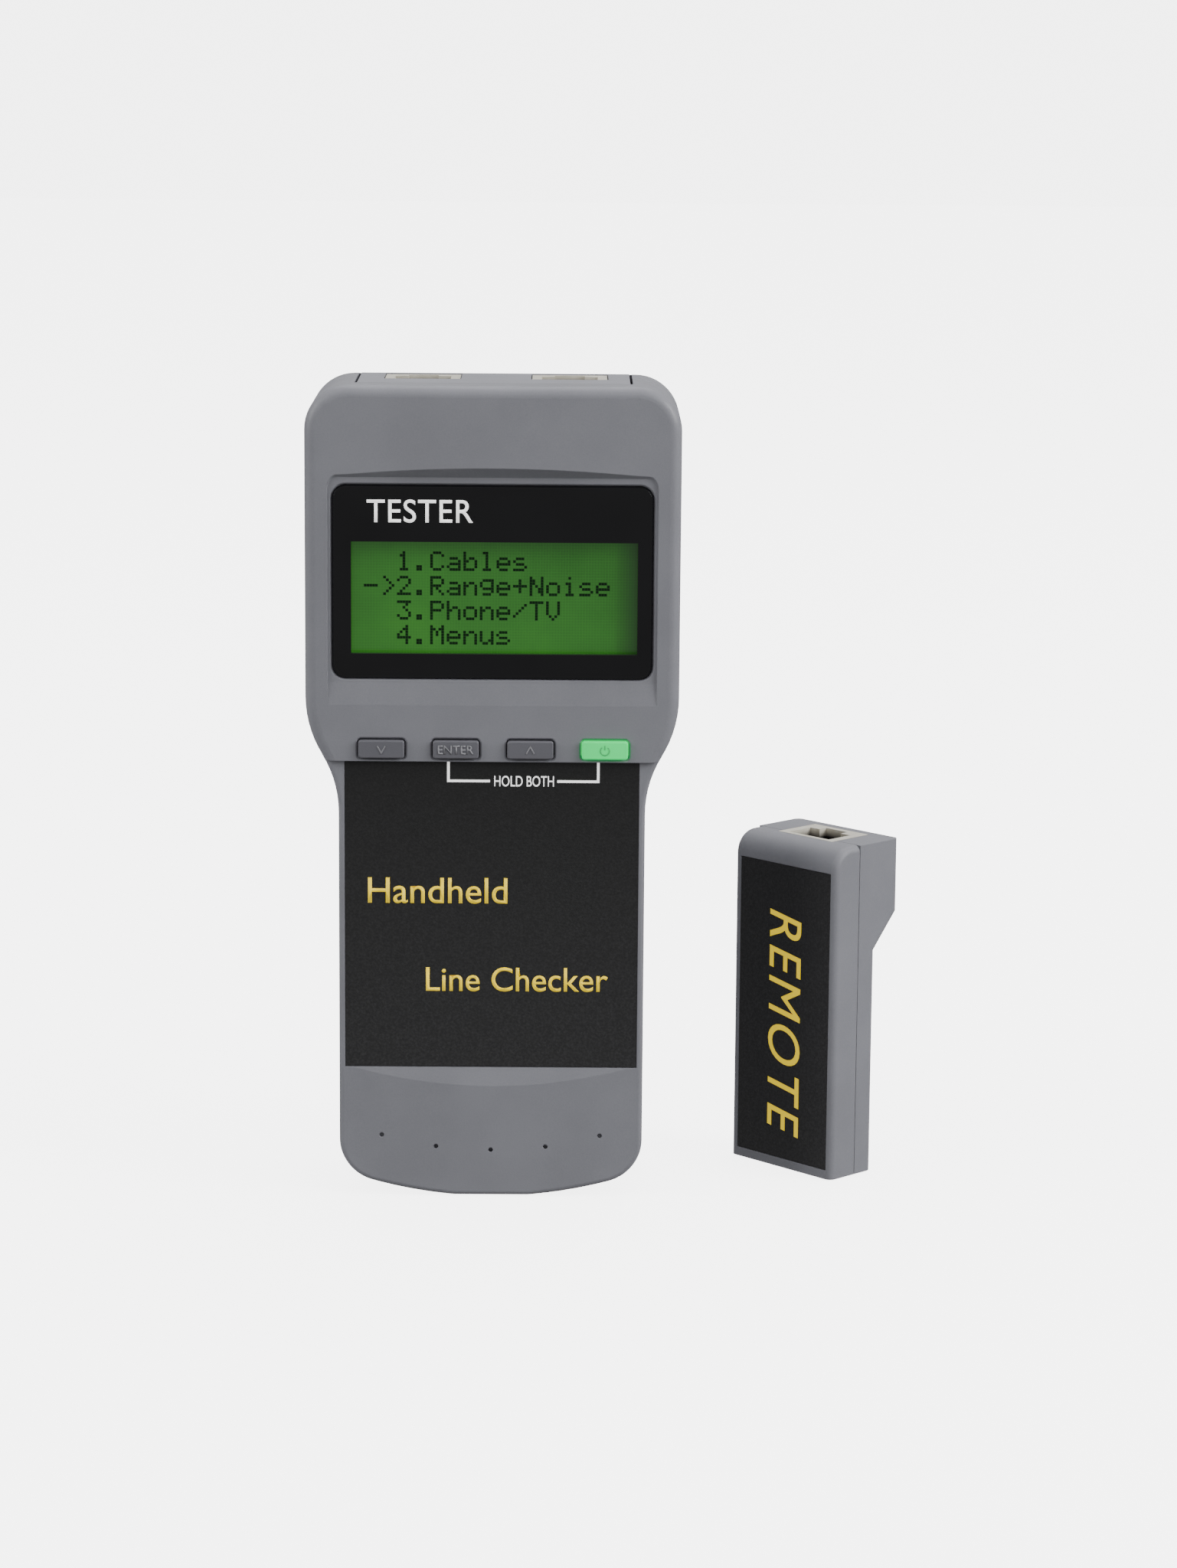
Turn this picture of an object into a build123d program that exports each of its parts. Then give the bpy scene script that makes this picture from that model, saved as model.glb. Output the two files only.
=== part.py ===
from build123d import *
import os
from math import atan, cos, radians, sin

os.makedirs("parts", exist_ok=True)

# ---------------------------------------------------------------------------
# Driving dimensions, in millimetres.
# The tester stands upright: +Z runs up its length, its front faces -Y and its
# right side, seen from the front, is +X. Depths are counted back from the
# front plane of each unit, heights from the surface that both stand on.
# ---------------------------------------------------------------------------

# Main unit, front outline
TALL = 175.2            # overall height
HEAD_WIDE = 79.3        # head, which holds the display
HANDLE_WIDE = 65.3      # handle, below the buttons
NECK_LOW = 84.0         # where the handle starts to widen
NECK_HIGH = 109.0       # where the head reaches its full width
BASE_RADIUS = 100.0     # rounded bottom end
FOOT_WIDE = 16.0        # flat land in the bottom end, on which it stands
HEAD_CORNER = 9.5
BASE_CORNER = 9.5

# Main unit, depths
DEEP = 32.0             # flat back
SEAM = 17.0             # parting line of the two shells
WALL = 2.2              # side and back walls
FRONT_WALL = 3.2        # inner face of the front wall
HANDLE_SET_BACK = 1.0   # handle's front plane, behind the head's
FRONT_ROUND = 2.4       # rounding of the head's front edges
HANDLE_ROUND = 1.0      # rounding of the handle's front edges
BACK_ROUND = 4.0
SEAM_CHAMFER = 0.3
TONGUE_INSET = 1.15     # from the outside to the tongue between the shells
TONGUE_GAP = 0.1
TONGUE_REACH = 1.5

# Brow above the display and chin below the label, both crowned
BROW_HALF = 34.8
BROW_RISE = 1.7
BROW_FOOT = 155.9       # straight top edge of the display recess
CHIN_HALF = 31.3
CHIN_RISE = 0.8
CHIN_TOP = 28.3         # straight bottom edge of the label recess
CHIN_CREASE = 24.4      # lowest point of the chin's crease
CROWN_EASE = 60.0       # radius that eases a crown into the flat beside it

# Display recess, lens and display
RECESS_DEPTH = 0.5
RECESS_CORNER = 2.0
RECESS_SLOPE = 6.0      # reach of the cut along its sloping top side
RECESS_LOW = 107.5      # the recess fades out here
RECESS_FULL = 112.4     # and is at its full depth from here up
LENS_WIDE = 67.5
LENS_LOW = 113.2
LENS_HIGH = 154.2
LENS_CORNER = 2.8
LENS_THICK = 1.4
LENS_PROUD = 0.2
LENS_GAP = 0.15         # around the lens in its seat
VIEW_LEFT = -29.8       # visible window of the display
VIEW_RIGHT = 30.6
VIEW_LOW = 118.5
VIEW_HIGH = 142.3
LCD_FRONT = 2.6         # front of the display's metal bezel
BEZEL_SHEET = 0.5
LCD_GLASS_THICK = 2.2
LCD_SPACERS = ((-22.0, 115.5), (22.0, 115.5), (-24.0, 144.0), (24.0, 144.0))
BEZEL_DEEP = 4.6
LCD_BOARD_THICK = 1.6

# Row of four buttons
LEDGE = 95.4            # step from the head's front down to the handle's
BUTTON_HIGH = 98.1      # height of the buttons' centres
BUTTON_MIDDLE = 0.25
BUTTON_PITCH = 15.8
BUTTON_OPENING = (10.2, 4.3)
BUTTON_GAP = 0.2
BUTTON_PROUD = 0.9
SWITCH_PLUNGER = 1.6    # radius of a switch's own plunger; it travels 0.6
BUTTON_NAMES = ("down", "enter", "up", "power")

# Label on the handle
LABEL_HALF = 31.25
LABEL_LOW = 28.5
LABEL_THICK = 0.4
LABEL_DEPTH = 0.45      # depth of the pocket for the label
SEAT_EDGE = 0.35        # chamfer around the lens and the buttons
PIN_HOLES = ((-23.5, 13.3), (-11.8, 10.9), (0.0, 10.2), (11.8, 10.9), (23.5, 13.3))
PIN_HOLE_RADIUS = 0.5

# Circuit board and what stands on it
BOARD_FRONT = 14.0
BOARD_THICK = 1.6
BOARD_BACK = BOARD_FRONT + BOARD_THICK
BOARD_HALF = 29.0
BOARD_LOW = 85.0
BOARD_HIGH = 171.4
BOARD_BOSS_RADIUS = 2.6
BOARD_SCREW_RADIUS = 1.1
BOARD_SCREW_TIP = 7.0
BOARD_SCREWS = ((-26.0, 89.0), (26.0, 89.0), (-26.0, 152.6), (26.0, 152.6))

CHIP_PLACE = (-6.0, 124.0)
CHIP_SIZE = 13.6
LOGIC_CHIPS = ((-18.0, 104.0), (16.0, 124.0), (16.0, 132.5), (16.0, 141.0))
CAPACITORS = ((-20.0, 141.0), (-20.0, 132.0), (-4.0, 141.0))
BUZZER_PLACE = (17.0, 99.0)

# Modular jacks (eight-way sockets)
JACK_WIDE = 16.0
JACK_DEEP = 11.8
JACK_TALL = 20.6
PLUG_WIDE = 11.9        # opening for the plug
PLUG_DEEP = 6.8
PLUG_REACH = 12.6       # how far the plug goes in
LATCH_WIDE = 6.4
LATCH_DEEP = 2.2
JACK_FACE = 1.3         # from the jack's front side to its opening
JACK_X = (-15.3, 16.0)
JACK_NAMES = ("main", "loopback")
CONTACT_PITCH = 1.02
CONTACT_WIDE = 0.46
CONTACT_RISE = 1.9      # how far a contact stands into the opening

# Connector panel between the shells, at the top
PANEL_HALF = 29.3
PANEL_FRONT = 6.0
PANEL_BACK = 29.0
PANEL_GAP = 0.2
PANEL_END_GAP = 0.55    # at the panel's two ends

# Battery bay and its door, at the back of the handle
BATTERY = (26.5, 17.5, 45.5)
BATTERY_LOW = 21.5
BATTERY_BACK = 29.4
BAY_HALF = 14.0
BAY_LOW = 18.0
BAY_HIGH = 76.0
BAY_FRONT = 11.2
BAY_WALL = 1.2
DOOR_HALF = 16.0
DOOR_LOW = 17.0
DOOR_HIGH = 76.5
DOOR_THICK = 2.0
DOOR_GAP = 0.25
HOOK_X = (6.0, 10.0)    # the door's two hooks, either side of the middle
HOOK_FRONT = 28.0
HOOK_LOW = 15.0
STUD_X = 6.35
STUD_RADIUS = 2.9
STUD_TALL = 2.8
LEAD_X = 2.5
LEAD_HIGH = 91.0
LEAD_BEND = 4.0
LEAD_RADIUS = 0.65

# Screws that hold the shells together
CASE_SCREWS = ((-33.3, 163.5), (33.3, 163.5), (-25.5, 13.5), (25.5, 13.5))
BOSS_RADIUS = 3.4
SCREW_SEAT = 21.0       # depth at which the screw heads sit
SCREW_HEAD_RADIUS = 2.7
SCREW_RADIUS = 1.5
SCREW_TIP = 9.0

# Remote unit
REMOTE_WIDE = 30.4
REMOTE_TALL = 74.0
REMOTE_DEEP = 20.4      # its head, which holds the jack
REMOTE_THIN = 13.4      # its body
REMOTE_SEAM = 7.8
REMOTE_SLOPE = (49.7, 57.6)
REMOTE_WALL = 1.7
REMOTE_BROW = 5.0       # large rounding along its top front edge
REMOTE_ROUND = 1.5
REMOTE_LABEL_HALF = 13.4
REMOTE_LABEL_SHIFT = 0.3 # the label sits a little to the right
REMOTE_LABEL = (2.1, 68.4)
REMOTE_TURN = 46.35     # how far it is turned from the main unit
REMOTE_PLACE = (63.75, 24.2)    # middle of its front, from the main unit's
REMOTE_JACK_FRONT = 6.35
REMOTE_JACK_TALL = 15.2
REMOTE_BOARD_FRONT = 4.6
REMOTE_POSTS = ((-10.0, 48.5), (10.0, 48.5), (-10.0, 68.0), (10.0, 68.0))
REMOTE_SCREWS = (9.5, 40.0)
REMOTE_SCREW_SEAT = 10.6

# ---------------------------------------------------------------------------
# Frames of the two units. The origin is the middle of the base of the set.
# ---------------------------------------------------------------------------
turn = radians(REMOTE_TURN)
reach_across = REMOTE_WIDE / 2 - REMOTE_ROUND
reach_back = REMOTE_DEEP - REMOTE_ROUND
set_right = REMOTE_PLACE[0] + reach_across * cos(turn) + reach_back * sin(turn) + REMOTE_ROUND
set_back = REMOTE_PLACE[1] + reach_across * sin(turn) + reach_back * cos(turn) + REMOTE_ROUND
main_x = (HEAD_WIDE / 2 - set_right) / 2
main_y = (BROW_RISE - set_back) / 2

MAIN = Plane(origin=(main_x, main_y, 0), x_dir=(1, 0, 0), z_dir=(0, 0, 1))
REMOTE = Plane(
    origin=(main_x + REMOTE_PLACE[0], main_y + REMOTE_PLACE[1], 0),
    x_dir=(cos(turn), -sin(turn), 0),
    z_dir=(0, 0, 1),
)


def facing(unit, depth):
    """Plane parallel to a unit's front: x to the right, y up, normal to the front."""
    return Plane(
        origin=unit.from_local_coords(Vector(0, depth, 0)), x_dir=unit.x_dir, z_dir=-unit.y_dir
    )


def beside(unit, across=0.0):
    """Plane across a unit's width: x to the back, y up, normal to the right."""
    return Plane(
        origin=unit.from_local_coords(Vector(across, 0, 0)), x_dir=unit.y_dir, z_dir=unit.x_dir
    )


def block(unit, x_range, y_range, z_range, mode=Mode.ADD):
    """Box between two corners, square to a unit."""
    across = (x_range[0] + x_range[1]) / 2
    depth = (y_range[0] + y_range[1]) / 2
    with BuildSketch(unit.offset(z_range[0])) as section:
        with Locations((across, depth)):
            Rectangle(x_range[1] - x_range[0], y_range[1] - y_range[0])
    extrude(section.sketch, amount=z_range[1] - z_range[0], mode=mode)


def rods(unit, spots, radius, y_range, mode=Mode.ADD):
    """Round bars that run front to back, one at each (x, z) spot."""
    with BuildSketch(facing(unit, y_range[0])) as section:
        with Locations(*spots):
            Circle(radius)
    extrude(section.sketch, amount=y_range[0] - y_range[1], mode=mode)


def slab(unit, shape, y_range, mode=Mode.ADD):
    """A front-view outline taken from one depth to another."""
    with BuildSketch(facing(unit, y_range[0])) as section:
        add(shape.sketch)
    extrude(section.sketch, amount=y_range[0] - y_range[1], mode=mode)


def plate(unit, x_range, z_range, corner, y_range, mode=Mode.ADD):
    """A round-cornered panel parallel to a unit's front."""
    middle = ((x_range[0] + x_range[1]) / 2, (z_range[0] + z_range[1]) / 2)
    with BuildSketch(facing(unit, y_range[0])) as section:
        with Locations(middle):
            RectangleRounded(x_range[1] - x_range[0], z_range[1] - z_range[0], corner)
    extrude(section.sketch, amount=y_range[0] - y_range[1], mode=mode)


def carve_crown(half, rise, depth):
    """Cut the current blank to a crowned front face, over its whole height.

    The crown stands proud of the flat at this depth by rise in the middle, and
    an arc the other way eases it into the flat at each side.
    """
    slope = 2 * atan(rise / half)
    crown_radius = half / sin(slope) - CROWN_EASE
    side = crown_radius * sin(slope)
    side_depth = depth - rise + crown_radius * (1 - cos(slope))
    clear = depth - rise - 5
    far = HEAD_WIDE
    with BuildSketch(MAIN.offset(-1)) as section:
        with BuildLine():
            middle = ThreePointArc((-side, side_depth), (0, depth - rise), (side, side_depth))
            TangentArc((side, side_depth), (half, depth), tangent=middle % 1)
            TangentArc((-side, side_depth), (-half, depth), tangent=-(middle % 0))
            outside = ((half, depth), (far, depth), (far, clear))
            Polyline(*outside, (-far, clear), (-far, depth), (-half, depth))
        make_face()
    extrude(section.sketch, amount=TALL + 2, mode=Mode.SUBTRACT)


def front_rim(part, depth):
    """Edges around the front of a blank, which lie ahead of this depth."""
    limit = MAIN.origin.Y + depth
    return part.edges().filter_by(lambda edge: edge.bounding_box().max.Y < limit)


def edges_at(part, depth, z_range, half=BROW_HALF - 0.1):
    """Edges that lie in one plane parallel to the main unit's front, within a box."""

    def inside(edge):
        box = edge.bounding_box()
        across = max(abs(box.min.X - MAIN.origin.X), abs(box.max.X - MAIN.origin.X))
        ahead = box.min.Y - MAIN.origin.Y - depth
        behind = box.max.Y - MAIN.origin.Y - depth
        level = box.min.Z > z_range[0] and box.max.Z < z_range[1]
        return level and across < half and abs(ahead) < 0.01 and abs(behind) < 0.01

    return part.edges().filter_by(inside)


def screw_cross(unit, spots, depth, size, deep):
    """Cross recesses in screw heads that face the back."""
    with BuildSketch(facing(unit, depth)) as section:
        with Locations(*spots):
            Rectangle(size, size / 4)
            Rectangle(size / 4, size)
    extrude(section.sketch, amount=deep, mode=Mode.SUBTRACT)


# ---------------------------------------------------------------------------
# Front outlines of the main unit
# ---------------------------------------------------------------------------
head_half = HEAD_WIDE / 2
handle_half = HANDLE_WIDE / 2
neck_middle = ((head_half + handle_half) / 2, (NECK_LOW + NECK_HIGH) / 2)
foot_half = FOOT_WIDE / 2
base_edge = (BASE_RADIUS**2 - foot_half**2) ** 0.5 - (BASE_RADIUS**2 - handle_half**2) ** 0.5

with BuildSketch() as outline:
    with BuildLine():
        Line((0, 0), (foot_half, 0))
        RadiusArc((foot_half, 0), (handle_half, base_edge), -BASE_RADIUS)
        Line((handle_half, base_edge), (handle_half, NECK_LOW))
        neck = TangentArc((handle_half, NECK_LOW), neck_middle, tangent=(0, 1))
        TangentArc(neck_middle, (head_half, NECK_HIGH), tangent=neck % 1)
        Polyline((head_half, NECK_HIGH), (head_half, TALL), (0, TALL))
        mirror(about=Plane.YZ)
    make_face()
    wide_corners = outline.vertices().filter_by(lambda corner: abs(corner.X) > head_half - 0.01)
    fillet(wide_corners.group_by(Axis.Y)[-1], HEAD_CORNER)
    low_corners = outline.vertices().filter_by(lambda corner: abs(corner.X) > handle_half - 0.01)
    fillet(low_corners.group_by(Axis.Y)[0], BASE_CORNER)

with BuildSketch() as inner_outline:
    add(outline.sketch)
    offset(amount=-WALL)

# Tongue on the back shell, and the step in the front shell that takes it
with BuildSketch() as tongue_outline:
    add(outline.sketch)
    offset(amount=-TONGUE_INSET)
    add(inner_outline.sketch, mode=Mode.SUBTRACT)

with BuildSketch() as step_outline:
    add(outline.sketch)
    offset(amount=TONGUE_GAP - TONGUE_INSET)
    add(inner_outline.sketch, mode=Mode.SUBTRACT)

# ---------------------------------------------------------------------------
# Main unit: front shell
# ---------------------------------------------------------------------------
handle_front = HANDLE_SET_BACK
past_seam = SEAM + 1

# Handle and chin, as a blank the whole height of the outline
with BuildPart() as handle_blank:
    slab(MAIN, outline, (handle_front - CHIN_RISE - 2, SEAM))
    carve_crown(CHIN_HALF, CHIN_RISE, handle_front)
    fillet(front_rim(handle_blank, handle_front + 0.1), HANDLE_ROUND)
    # Above the crease the front is flat
    with BuildSketch(beside(MAIN)):
        Polygon(
            (handle_front - CHIN_RISE, CHIN_CREASE),
            (handle_front, CHIN_TOP),
            (handle_front, TALL + 1),
            (handle_front - CHIN_RISE - 2, TALL + 1),
            (handle_front - CHIN_RISE - 2, CHIN_CREASE),
            align=None,
        )
    extrude(amount=CHIN_HALF, both=True, mode=Mode.SUBTRACT)
    block(MAIN, (-HEAD_WIDE, HEAD_WIDE), (-5, past_seam), (LEDGE + 1, TALL + 1), Mode.SUBTRACT)

# Display recess, with its top side sloping out to the brow's lip
with BuildPart() as recess:
    with BuildSketch(beside(MAIN)):
        Polygon(
            (0, 0),
            (0, RECESS_LOW),
            (RECESS_DEPTH, RECESS_FULL),
            (RECESS_DEPTH, BROW_FOOT),
            (RECESS_DEPTH - RECESS_SLOPE, BROW_FOOT + RECESS_SLOPE),
            (RECESS_DEPTH - RECESS_SLOPE, 0),
            align=None,
        )
    extrude(amount=BROW_HALF, both=True)
    top_corners = recess.edges().filter_by(lambda edge: 0.5 < abs((edge % 0.5).Z) < 0.9)
    fillet(top_corners, RECESS_CORNER)

# Head and brow, as a blank of the whole outline too
with BuildPart() as head_blank:
    slab(MAIN, outline, (-BROW_RISE - 2, SEAM))
    carve_crown(BROW_HALF, BROW_RISE, 0)
    fillet(front_rim(head_blank, 0.1), FRONT_ROUND)
    block(MAIN, (-HEAD_WIDE, HEAD_WIDE), (-5, past_seam), (-1, LEDGE), Mode.SUBTRACT)
    add(recess.part, mode=Mode.SUBTRACT)

pocket_floor = RECESS_DEPTH + LENS_THICK - LENS_PROUD
window_x = (VIEW_LEFT - 1.6, VIEW_RIGHT + 1.6)
window_z = (VIEW_LOW - 1.6, VIEW_HIGH + 1.6)
bezel_x = (VIEW_LEFT - 4.4, VIEW_RIGHT + 4.4)
bezel_z = (VIEW_LOW - 6.2, VIEW_HIGH + 6.2)
lens_half = LENS_WIDE / 2
button_x = [BUTTON_MIDDLE + (place - 1.5) * BUTTON_PITCH for place in range(len(BUTTON_NAMES))]
button_spots = [(across, BUTTON_HIGH) for across in button_x]
panel_x = (-PANEL_HALF, PANEL_HALF)
top_wall = (TALL - WALL - 2, TALL + 1)

with BuildPart() as front_shell:
    add(head_blank.part)
    add(handle_blank.part)
    # Shadow line where the shells meet
    rim = front_shell.faces().sort_by(Axis.Y)[-1].edges()
    chamfer(rim, SEAM_CHAMFER)
    slab(MAIN, inner_outline, (FRONT_WALL, past_seam), Mode.SUBTRACT)
    slab(MAIN, step_outline, (SEAM - TONGUE_REACH - TONGUE_GAP, past_seam), Mode.SUBTRACT)
    # Seat for the lens, and the opening for the display behind it
    plate(
        MAIN,
        (-lens_half - LENS_GAP, lens_half + LENS_GAP),
        (LENS_LOW - LENS_GAP, LENS_HIGH + LENS_GAP),
        LENS_CORNER + LENS_GAP,
        (RECESS_DEPTH - 2, pocket_floor),
        Mode.SUBTRACT,
    )
    seat_rim = edges_at(front_shell, RECESS_DEPTH, (LENS_LOW - 0.3, LENS_HIGH + 0.3))
    chamfer(seat_rim, SEAT_EDGE)
    block(MAIN, window_x, (0, past_seam), window_z, Mode.SUBTRACT)
    thinned_x = (bezel_x[0] - 0.3, bezel_x[1] + 0.3)
    thinned_z = (bezel_z[0] - 0.3, bezel_z[1] + 0.3)
    block(MAIN, thinned_x, (LCD_FRONT - 0.1, past_seam), thinned_z, Mode.SUBTRACT)
    # Openings for the buttons
    with BuildSketch(facing(MAIN, -1)):
        with Locations(*button_spots):
            RectangleRounded(*BUTTON_OPENING, 0.8)
    extrude(amount=-SEAM, mode=Mode.SUBTRACT)
    opening_half = BUTTON_OPENING[1] / 2 + 0.1
    button_rims = edges_at(front_shell, 0, (BUTTON_HIGH - opening_half, BUTTON_HIGH + opening_half))
    chamfer(button_rims, SEAT_EDGE)
    # Pocket for the handle's label
    pocket_half = LABEL_HALF + 0.1
    label_floor = handle_front + LABEL_DEPTH
    block(
        MAIN, (-pocket_half, pocket_half), (-1, label_floor), (LABEL_LOW - 0.1, LEDGE), Mode.SUBTRACT
    )
    # Row of small blind holes across the chin
    rods(MAIN, PIN_HOLES, PIN_HOLE_RADIUS, (-2, handle_front + 0.5), Mode.SUBTRACT)
    # Bosses for the case screws and for the circuit board
    rods(MAIN, CASE_SCREWS, BOSS_RADIUS, (FRONT_WALL - 0.5, SEAM))
    rods(MAIN, CASE_SCREWS, SCREW_RADIUS, (SCREW_TIP - 1, past_seam), Mode.SUBTRACT)
    rods(MAIN, BOARD_SCREWS, BOARD_BOSS_RADIUS, (FRONT_WALL - 0.5, BOARD_FRONT))
    rods(MAIN, BOARD_SCREWS, BOARD_SCREW_RADIUS, (BOARD_SCREW_TIP - 1, BOARD_FRONT), Mode.SUBTRACT)
    # Gap for the connector panel in the top wall
    block(MAIN, panel_x, (PANEL_FRONT, past_seam), top_wall, Mode.SUBTRACT)
front_shell.part.label = "front_shell"
export_step(front_shell.part, "parts/front_shell.step")

# ---------------------------------------------------------------------------
# Main unit: back shell
# ---------------------------------------------------------------------------
back_wall = DEEP - WALL
boss_back_radius = BOSS_RADIUS + 0.5

with BuildPart() as rear_shell:
    slab(MAIN, outline, (SEAM, DEEP))
    back_rim = rear_shell.faces().sort_by(Axis.Y)[-1].edges()
    fillet(back_rim, BACK_ROUND)
    seam_rim = rear_shell.faces().sort_by(Axis.Y)[0].edges()
    chamfer(seam_rim, SEAM_CHAMFER)
    slab(MAIN, inner_outline, (SEAM - 1, back_wall), Mode.SUBTRACT)
    slab(MAIN, tongue_outline, (SEAM - TONGUE_REACH, SEAM + 1))
    # Battery bay: a box inside, open to the back
    bay_outside = BAY_HALF + BAY_WALL
    bay_z = (BAY_LOW - BAY_WALL, BAY_HIGH + BAY_WALL)
    door_seat = back_wall + 0.2
    block(MAIN, (-bay_outside, bay_outside), (BAY_FRONT - BAY_WALL, door_seat), bay_z)
    block(MAIN, (-BAY_HALF, BAY_HALF), (BAY_FRONT, DEEP + 1), (BAY_LOW, BAY_HIGH), Mode.SUBTRACT)
    block(MAIN, (-DOOR_HALF, DOOR_HALF), (door_seat, DEEP + 1), (DOOR_LOW, DOOR_HIGH), Mode.SUBTRACT)
    # Slot for the battery leads and two slots for the door's hooks
    block(MAIN, (-5, 5), (18.6, 22.6), (BAY_HIGH - 1, BAY_HIGH + 2), Mode.SUBTRACT)
    for side in (-1, 1):
        slot_x = sorted((side * (HOOK_X[0] - 0.5), side * (HOOK_X[1] + 0.5)))
        slot_z = (HOOK_LOW - 0.5, BAY_LOW + 1)
        block(MAIN, slot_x, (HOOK_FRONT - 1.5, back_wall + 0.3), slot_z, Mode.SUBTRACT)
    # Bosses, with deep counterbores for the case screws
    rods(MAIN, CASE_SCREWS, boss_back_radius, (SEAM, back_wall + 0.5))
    rods(MAIN, CASE_SCREWS, SCREW_HEAD_RADIUS + 0.2, (SCREW_SEAT, DEEP + 1), Mode.SUBTRACT)
    rods(MAIN, CASE_SCREWS, SCREW_RADIUS + 0.2, (SEAM - 1, SCREW_SEAT + 1), Mode.SUBTRACT)
    block(MAIN, panel_x, (SEAM - 2, PANEL_BACK), top_wall, Mode.SUBTRACT)
rear_shell.part.label = "rear_shell"
export_step(rear_shell.part, "parts/rear_shell.step")

# ---------------------------------------------------------------------------
# Main unit: lens, label and display
# ---------------------------------------------------------------------------
with BuildPart() as display_lens:
    lens_y = (RECESS_DEPTH - LENS_PROUD, pocket_floor)
    plate(MAIN, (-lens_half, lens_half), (LENS_LOW, LENS_HIGH), LENS_CORNER, lens_y)
    chamfer(display_lens.faces().sort_by(Axis.Y)[0].edges(), 0.3)
    block(MAIN, (VIEW_LEFT, VIEW_RIGHT), (-1, past_seam), (VIEW_LOW, VIEW_HIGH), Mode.SUBTRACT)
display_lens.part.label = "display_lens"
export_step(display_lens.part, "parts/display_lens.step")

with BuildPart() as handle_label:
    label_y = (label_floor - LABEL_THICK, label_floor)
    block(MAIN, (-LABEL_HALF, LABEL_HALF), label_y, (LABEL_LOW, LEDGE - 0.1))
handle_label.part.label = "handle_label"
export_step(handle_label.part, "parts/handle_label.step")

bezel_back = LCD_FRONT + BEZEL_DEEP
glass_front = LCD_FRONT + BEZEL_SHEET
glass_back = glass_front + LCD_GLASS_THICK
inside_x = (bezel_x[0] + BEZEL_SHEET, bezel_x[1] - BEZEL_SHEET)
inside_z = (bezel_z[0] + BEZEL_SHEET, bezel_z[1] - BEZEL_SHEET)

with BuildPart() as lcd_bezel:
    plate(MAIN, bezel_x, bezel_z, 0.8, (LCD_FRONT, bezel_back))
    block(MAIN, inside_x, (glass_front, past_seam), inside_z, Mode.SUBTRACT)
    cut_x = (VIEW_LEFT - 1, VIEW_RIGHT + 1)
    cut_z = (VIEW_LOW - 1, VIEW_HIGH + 1)
    block(MAIN, cut_x, (0, past_seam), cut_z, Mode.SUBTRACT)
lcd_bezel.part.label = "lcd_bezel"
export_step(lcd_bezel.part, "parts/lcd_bezel.step")

glass_x = (inside_x[0] + 0.1, inside_x[1] - 0.1)
glass_z = (inside_z[0] + 0.1, inside_z[1] - 0.1)

with BuildPart() as lcd_glass:
    block(MAIN, glass_x, (glass_front, glass_back), glass_z)
lcd_glass.part.label = "lcd_glass"
export_step(lcd_glass.part, "parts/lcd_glass.step")

with BuildPart() as lcd_backlight:
    block(MAIN, glass_x, (glass_back, bezel_back), glass_z)
lcd_backlight.part.label = "lcd_backlight"
export_step(lcd_backlight.part, "parts/lcd_backlight.step")

lcd_board_back = bezel_back + LCD_BOARD_THICK
with BuildPart() as lcd_board:
    board_x = (bezel_x[0] - 0.9, bezel_x[1] + 0.9)
    board_z = (bezel_z[0] - 0.8, bezel_z[1] + 0.4)
    plate(MAIN, board_x, board_z, 1, (bezel_back, lcd_board_back))
lcd_board.part.label = "lcd_board"
export_step(lcd_board.part, "parts/lcd_board.step")

with BuildPart() as lcd_header:
    block(MAIN, (-20, 20), (lcd_board_back, BOARD_FRONT), (bezel_z[1] - 2.6, bezel_z[1] - 0.1))
lcd_header.part.label = "lcd_header"
export_step(lcd_header.part, "parts/lcd_header.step")

with BuildPart() as lcd_spacers:
    rods(MAIN, LCD_SPACERS, 2.2, (lcd_board_back, BOARD_FRONT))
lcd_spacers.part.label = "lcd_spacers"
export_step(lcd_spacers.part, "parts/lcd_spacers.step")

# ---------------------------------------------------------------------------
# Main unit: buttons and their switches
# ---------------------------------------------------------------------------
plunger_front = BOARD_FRONT - 4.6
flange_front = FRONT_WALL + 0.4
flange_back = flange_front + 1
cap_wide = BUTTON_OPENING[0] - 2 * BUTTON_GAP
cap_tall = BUTTON_OPENING[1] - 2 * BUTTON_GAP

for name, across in zip(BUTTON_NAMES, button_x):
    cap_x = (across - cap_wide / 2, across + cap_wide / 2)
    cap_z = (BUTTON_HIGH - cap_tall / 2, BUTTON_HIGH + cap_tall / 2)
    with BuildPart() as button:
        plate(MAIN, cap_x, cap_z, 0.6, (-BUTTON_PROUD, flange_front))
        fillet(button.faces().sort_by(Axis.Y)[0].edges(), 0.35)
        flange_x = (cap_x[0] - 0.8, cap_x[1] + 0.8)
        flange_z = (cap_z[0] - 0.7, cap_z[1] + 0.7)
        plate(MAIN, flange_x, flange_z, 0.6, (flange_front, flange_back))
        rods(MAIN, [(across, BUTTON_HIGH)], 1.7, (flange_back, plunger_front))
    button.part.label = f"button_{name}"
    export_step(button.part, f"parts/button_{name}.step")

    with BuildPart() as plunger:
        rods(MAIN, [(across, BUTTON_HIGH)], SWITCH_PLUNGER, (plunger_front, BOARD_FRONT - 1.1))
    plunger.part.label = f"plunger_{name}"
    export_step(plunger.part, f"parts/plunger_{name}.step")

with BuildPart() as switch_housings:
    housing_z = (BUTTON_HIGH - 3, BUTTON_HIGH + 3)
    for across in button_x:
        plate(MAIN, (across - 3, across + 3), housing_z, 0.4, (BOARD_FRONT - 3.4, BOARD_FRONT))
    rods(MAIN, button_spots, SWITCH_PLUNGER + 0.06, (0, BOARD_FRONT - 0.4), Mode.SUBTRACT)
switch_housings.part.label = "switch_housings"
export_step(switch_housings.part, "parts/switch_housings.step")

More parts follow.
